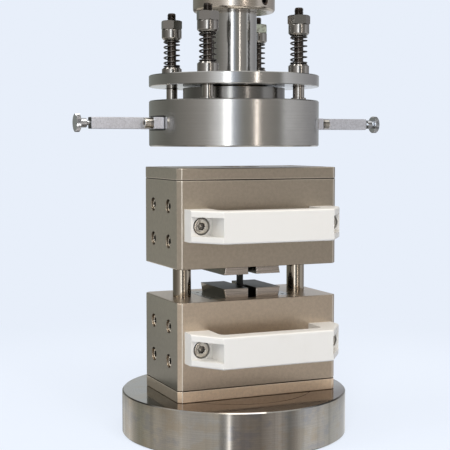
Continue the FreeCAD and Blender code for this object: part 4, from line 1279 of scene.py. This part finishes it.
@dataclass
class Nuts:
    """The hexagon nuts on the studs, with their corners turned off above and below."""

    across_flats: float = 17.0
    corner_slope: float = 0.55
    trim: float = 0.1
    facets: int = 96
    turn_step: float = 20.0
    stud: float = 8.0

    def shape(self, height: float) -> Shape:
        """One nut, standing on height 0.

        Args:
            height: the nut's height.

        Returns:
            The nut.
        """
        flat, bore = self.across_flats / 2, self.stud / 2
        inner, low = flat - self.trim, self.trim / 2
        made = Shape().turned([
            (bore, 0), (inner, 0), (flat, low), (flat, height - low), (inner, height), (bore, height),
        ], self.facets)
        for vert in made.bm.verts:
            if abs(vert.co.xy.length - flat * MM) < ON_RING:
                self._trim(vert, height)
        return made

    def _trim(self, vert: Any, height: float) -> None:
        """Moves one vertex to where the hexagon meets the cone that trims its corners.

        Args:
            vert: a vertex of the ring.
            height: the nut's height.
        """
        flat = self.across_flats / 2
        to_hexagon(vert, self.across_flats, self.across_flats)
        inwards = (vert.co.xy.length / MM - flat) * self.corner_slope * MM
        vert.co.z += inwards if vert.co.z < height / 2 * MM else -inwards

    def build(self, palette: Palette) -> None:
        """Puts one nut on each stud.

        Args:
            palette: the fixture's finishes.
        """
        low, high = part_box("stud_nuts")
        made = Shape()
        for index in FOUR:
            stud = middle("stud_%d" % index)
            turn = Matrix.Rotation(math.radians(self.turn_step * index), 4, "Z")
            place = Matrix.Translation((stud.x, stud.y, low.z)) @ turn
            made.join(self.shape((high.z - low.z) / MM).move(place))
        made.piece("trimmed_nuts", "aligning_platen", "bright_steel", palette.nut_steel, "stud_nuts")


@dataclass
class ThumbScrew:
    """A knurled thumb screw, drawn along Z from its thread's end to the disc's face."""

    sign: int
    ridges: int = 60
    disc: float = 15.5
    disc_base: float = 21.0
    disc_height: float = 3.8
    disc_edge: float = 0.3
    knurl_depth: float = 0.35
    outline: tuple[tuple[float, float], ...] = (
        (0, 0), (1.6, 0), (2, 0.4), (2, 15), (3.7, 15), (4, 15.3), (4, 20.2), (3.4, 21), (3.4, 21.2),
        (0, 21.2),
    )
    facets: int = 64

    def disc_shape(self) -> Shape:
        """The disc with a straight knurl: every other point of its rim stands back.

        Returns:
            The disc.
        """
        made = Shape()
        radius = self.disc / 2
        bmesh.ops.create_cone(
            made.bm, cap_ends=True, segments=self.ridges * 2, radius1=radius * MM, radius2=radius * MM,
            depth=self.disc_height * MM,
            matrix=Matrix.Translation((0, 0, (self.disc_base + self.disc_height / 2) * MM)),
        )
        step = math.pi / self.ridges
        valleys = [
            vert for vert in made.bm.verts
            if round(math.atan2(vert.co.y, vert.co.x) / step) % 2 == 0
        ]
        inwards = 1 - self.knurl_depth / radius
        bmesh.ops.scale(made.bm, vec=(inwards, inwards, 1), verts=valleys)
        rim = {edge for face in made.bm.faces if len(face.verts) > 4 for edge in face.edges}
        made.bevel(list(rim), self.disc_edge, 1)
        return made

    def build(self, palette: Palette) -> None:
        """Makes the screw where the node is.

        Args:
            palette: the fixture's finishes.
        """
        side = SIDE_NAMES[self.sign]
        node = "thumb_screw_" + side
        low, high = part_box(node)
        centre = middle(node)
        place = Matrix.Translation((low.x if self.sign > 0 else high.x, centre.y, centre.z))
        made = Shape().turned(self.outline, self.facets).join(self.disc_shape())
        made.move(place @ side_way(self.sign).value)
        made.piece("knurled_" + node, "thumb_" + side[0], "bright_steel", palette.thumb_steel, node)


@dataclass
class Softened:
    """Nodes with their edges slightly broken, as a file or the lathe leaves them."""

    palette: Palette
    shortest_edge: float = 2.5
    flat_sided: dict[float, tuple[str, ...]] = field(default_factory=lambda: {
        0.35: ("lower_housing", "upper_housing"), 0.25: ("lower_cover_plate", "upper_cover_plate"),
        0.7: ("arm_left", "arm_right"),
        0.2: ("lower_wedge_left", "lower_wedge_right", "upper_wedge_left", "upper_wedge_right"),
    })
    rim: float = 0.4
    round_nodes: tuple[str, ...] = ("spring_collar", "spring_bush")

    def soften(self, node: str, width: float, shortest: float) -> None:
        """Makes the softened copy of one node.

        Args:
            node: the node.
            width: how far the rounding cuts back.
            shortest: the length that an edge must pass.
        """
        slot = slot_of(node)
        made = Shape().copy_of(node).soften(width, shortest)
        made.piece(node + "_softened", body_of(node), slot, self.palette.of(slot, node), node)

    def build(self) -> None:
        """Softens the long edges of the flat-sided nodes, and every sharp rim of the round ones."""
        for width, nodes in self.flat_sided.items():
            for node in nodes:
                self.soften(node, width, self.shortest_edge)
        for kind in self.round_nodes:
            for index in FOUR:
                self.soften("%s_%d" % (kind, index), self.rim, 0.0)


def body_of(node: str) -> str:
    """The body that carries a node."""
    return next(body for body, nodes in frame["record"]["behaviour"]["bodies"].items() if node in nodes)


def slot_of(node: str) -> str:
    """The material slot of a node."""
    return next(item["material_slot"] for item in frame["record"]["subparts"] if item["node"] == node)


@dataclass
class Dressing:
    """The finishes of the nodes that stay as they are."""

    palette: Palette

    def build(self) -> None:
        """Gives every node the finish of its material slot."""
        for name, node in frame["nodes"].items():
            finish = self.palette.of(slot_of(name), name)
            for slot in node.material_slots:
                slot.material = finish.material()
            log.info("node %s: %s", name, finish.name)


@dataclass
class Studio:
    """Floor, surroundings, lamps and camera.

    The room and the table are what the metal mirrors at and below its own height. Each of their
    stops is an angle in degrees, from the camera's side round to the right, and a colour.
    """

    backdrop: Colour = (0.807, 0.863, 0.956, 1.0)
    ceiling: Colour = (0.95, 0.94, 0.92, 1.0)
    gloom: Colour = (0.03, 0.03, 0.03, 1.0)
    room: tuple[Stop, ...] = (
        (-180, 0.66, 0.69, 0.7), (-173, 0.64, 0.67, 0.68), (-169, 0.29, 0.3, 0.29),
        (-156, 0.27, 0.285, 0.265), (-130, 0.285, 0.29, 0.265), (-98, 0.215, 0.215, 0.195),
        (-60, 0.36, 0.345, 0.325), (-36, 0.54, 0.525, 0.51), (-26, 0.95, 0.95, 0.96),
        (-16, 1.22, 1.24, 1.28), (-10, 1, 1.03, 1.08), (-2, 0.67, 0.74, 0.88), (10, 0.35, 0.35, 0.33),
        (22, 0.31, 0.3, 0.28), (44, 0.42, 0.4, 0.38), (64, 0.31, 0.305, 0.29), (70.5, 0.86, 0.87, 0.9),
        (90, 0.68, 0.68, 0.7), (112, 0.5, 0.5, 0.52), (142, 0.37, 0.37, 0.39), (166, 0.5, 0.52, 0.54),
        (180, 0.8, 0.85, 0.93),
    )
    table: tuple[Stop, ...] = (
        (-180, 0.9, 0.9, 0.9), (-172, 0.16, 0.15, 0.14), (-164, 0.3, 0.29, 0.27),
        (-159, 0.75, 0.74, 0.7), (-142, 0.88, 0.85, 0.8), (-135, 1.2, 1.15, 1.08),
        (-124, 0.76, 0.72, 0.65), (-112, 0.53, 0.52, 0.44), (-96, 0.7, 0.66, 0.57),
        (-80, 0.84, 0.78, 0.69), (-64, 0.78, 0.73, 0.66), (-52, 1.12, 1.08, 1.03),
        (-42, 0.84, 0.81, 0.78), (-15, 0.8, 0.79, 0.77), (-12, 0.44, 0.43, 0.42),
        (-9.5, 0.55, 0.54, 0.53), (-7, 1.3, 1.28, 1.25), (-5, 4, 3.9, 3.8), (-3, 1.1, 1.08, 1.05),
        (-1, 0.53, 0.49, 0.46), (8, 0.44, 0.39, 0.36), (26, 0.38, 0.335, 0.3), (47, 0.77, 0.72, 0.69),
        (57, 0.38, 0.38, 0.38), (64, 0.56, 0.54, 0.54), (73, 1.12, 1.12, 1.12), (82, 1.22, 1.2, 1.18),
        (98, 1.12, 1.1, 1.08), (114, 0.9, 0.91, 0.9), (132, 0.87, 0.88, 0.88), (152, 0.73, 0.74, 0.75),
        (180, 0.9, 0.9, 0.9),
    )
    table_edge: tuple[float, float] = (0.205, 0.235)
    dim_above: tuple[float, float] = (0.26, 0.42)
    dim_below: tuple[float, float] = (0.40, 0.70)
    dimness: float = 0.72
    ceiling_edge: tuple[float, float] = (0.60, 0.80)
    glow: float = 0.82
    glow_edge: tuple[float, float] = (0.5, 0.95)
    floor_radius: float = 0.7
    floor_height: float = -0.0005
    yaw: float = math.radians(-23.395)
    pitch: float = math.radians(4.223)
    distance: float = 1.008102
    aim_across: float = -0.007823
    aim_height: float = 0.184082
    focal_pixels: float = 1130.28
    image_width: float = 450.0
    sensor: float = 36.0
    lamp_aim: Point = (0.0, 0.0, 0.22)

    def build(self) -> None:
        """Makes everything that isn't the object."""
        self.make_floor()
        self.make_world()
        self.make_lamps()
        self.make_camera()

    def make_floor(self) -> None:
        """A round pale floor, which keeps the fixture's shadow and melts into the backdrop."""
        bm = bmesh.new()
        bmesh.ops.create_circle(bm, cap_ends=True, segments=96, radius=self.floor_radius)
        mesh = bpy.data.meshes.new("studio_floor")
        bm.to_mesh(mesh)
        bm.free()
        floor = in_scene("studio_floor", mesh)
        floor.location.z = self.floor_height
        made = bpy.data.materials.new("studio_floor_pale")
        made.use_nodes = True
        graph = Graph(made.node_tree)
        matt = graph.node("ShaderNodeBsdfDiffuse", None, {"Color": self.backdrop, "Roughness": 1.0})
        shine = graph.node("ShaderNodeEmission", None, {"Color": self.backdrop, "Strength": 1.0})
        x, y, _ = graph.axes(graph.place())
        rim = (x * x + y * y).root().between(*(self.floor_radius * share for share in self.glow_edge))
        seen = graph.ray("Camera").maximum(graph.ray("Transmission"))
        factor = seen * (self.glow + rim * (1 - self.glow))
        pale = graph.node("ShaderNodeMixShader", None, {0: factor, 1: matt, 2: shine})
        clear = graph.node("ShaderNodeBsdfTransparent", None, {"Color": colour(1.0, 1.0, 1.0)})
        mixed = graph.node("ShaderNodeMixShader", None, {0: graph.ray("Glossy"), 1: pale, 2: clear})
        graph.node("ShaderNodeOutputMaterial", None, {"Surface": mixed})
        mesh.materials.append(made)

    @staticmethod
    def ramp(graph: Graph, around: Value, stops: Sequence[Stop]) -> Value:
        """The colours of some stops, by a value that goes from 0 to 1 all the way round."""
        settings = {"stops": [(0.5 + at / 360, colour(*tone)) for at, *tone in stops]}
        return graph.node("ShaderNodeValToRGB", settings, {0: around})

    def make_world(self) -> None:
        """The room: pale behind the fixture, and grey with soft steps towards the camera's side."""
        world = bpy.data.worlds.new("studio_room")
        bpy.context.scene.world = world
        world.use_nodes = True
        graph = Graph(world.node_tree)
        look = graph.node("ShaderNodeTexCoord", None, None, "Generated")
        x, y, height = graph.axes(look)
        right = x * math.cos(self.yaw) + y * math.sin(self.yaw)
        front = x * math.sin(self.yaw) - y * math.cos(self.yaw)
        around = right.angle_to(front) * (0.5 / math.pi) + 0.5
        room, table = (self.ramp(graph, around, stops) for stops in (self.room, self.table))
        level = graph.blend((0 - height).between(*self.table_edge), room, table)
        dim = height.between(*self.dim_above).maximum((0 - height).between(*self.dim_below))
        walls = graph.blend(dim * self.dimness, level, self.gloom)
        surroundings = graph.blend(height.between(*self.ceiling_edge), walls, self.ceiling)
        seen = graph.ray("Camera").maximum(graph.ray("Transmission"))
        tone = graph.blend(seen, surroundings, self.backdrop)
        light = graph.node("ShaderNodeBackground", None, {"Color": tone, "Strength": 1.0})
        graph.node("ShaderNodeOutputWorld", None, {"Surface": light})

    def lamp(self, name: str, around: float, height: float, size: tuple[float, float], power: float,
             tone: Point, distance: float) -> None:
        """Hangs one soft area lamp that looks at the fixture.

        Args:
            name: the lamp's name.
            around: where it hangs, in degrees to the right of the camera as seen from the fixture.
            height: how high its middle is, in metres.
            size: width and height of its face.
            power: its power in watts.
            tone: its colour.
            distance: how far it is from the machine axis.
        """
        data = bpy.data.lights.new(name, "AREA")
        data.shape = "RECTANGLE"
        data.size, data.size_y = size
        data.energy = power
        data.color = tone
        lamp = in_scene(name, data)
        angle = self.yaw - math.pi / 2 + math.radians(around)
        lamp.location = (distance * math.cos(angle), distance * math.sin(angle), height)
        aim = Vector(self.lamp_aim) - lamp.location
        lamp.rotation_euler = aim.to_track_quat("-Z", "Y").to_euler()

    def make_lamps(self) -> None:
        """A tall cool strip by the camera, a thin warm one to its right, and soft boxes."""
        self.lamp("strip_cool", -8.5, 0.825, (0.26, 2.25), 7.4, (0.95, 0.98, 1.0), 1.9)
        self.lamp("strip_warm", 29.5, 0.825, (0.08, 2.25), 3.6, (1.0, 0.91, 0.84), 1.9)
        self.lamp("box_left", -62.0, 1.5, (0.9, 0.7), 13.0, (1.0, 0.99, 0.97), 2.1)
        self.lamp("box_top", 15.0, 2.3, (1.6, 1.6), 36.0, (1.0, 0.96, 0.91), 1.3)

    def make_camera(self) -> None:
        """The camera at the photograph's place, from the fit of its lines."""
        data = bpy.data.cameras.new("photo_camera")
        data.sensor_width = self.sensor
        data.sensor_fit = "HORIZONTAL"
        data.lens = self.focal_pixels * self.sensor / self.image_width
        camera = in_scene("photo_camera", data)
        right = Vector((math.cos(self.yaw), math.sin(self.yaw), 0))
        back = Vector((
            math.sin(self.yaw) * math.cos(self.pitch), -math.cos(self.yaw) * math.cos(self.pitch),
            math.sin(self.pitch),
        ))
        target = right * self.aim_across + Vector((0, 0, self.aim_height))
        camera.location = target + back * self.distance
        camera.rotation_euler = (math.pi / 2 - self.pitch, 0, self.yaw)
        bpy.context.scene.camera = camera
        bpy.context.scene.view_settings.view_transform = "Standard"


def main() -> None:
    """Builds the dressed fixture and its studio."""
    logging.basicConfig(level=logging.INFO, format="%(name)s: %(message)s")
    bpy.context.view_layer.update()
    palette = Palette()
    Dressing(palette).build()
    Softened(palette).build()
    Fasteners().build(palette)
    for index in FOUR:
        SpringStack(index).build(palette)
    Nuts().build(palette)
    for sign in SIDES:
        ThumbScrew(sign).build(palette)
    Studio().build()


if __name__ == "__main__":
    main()
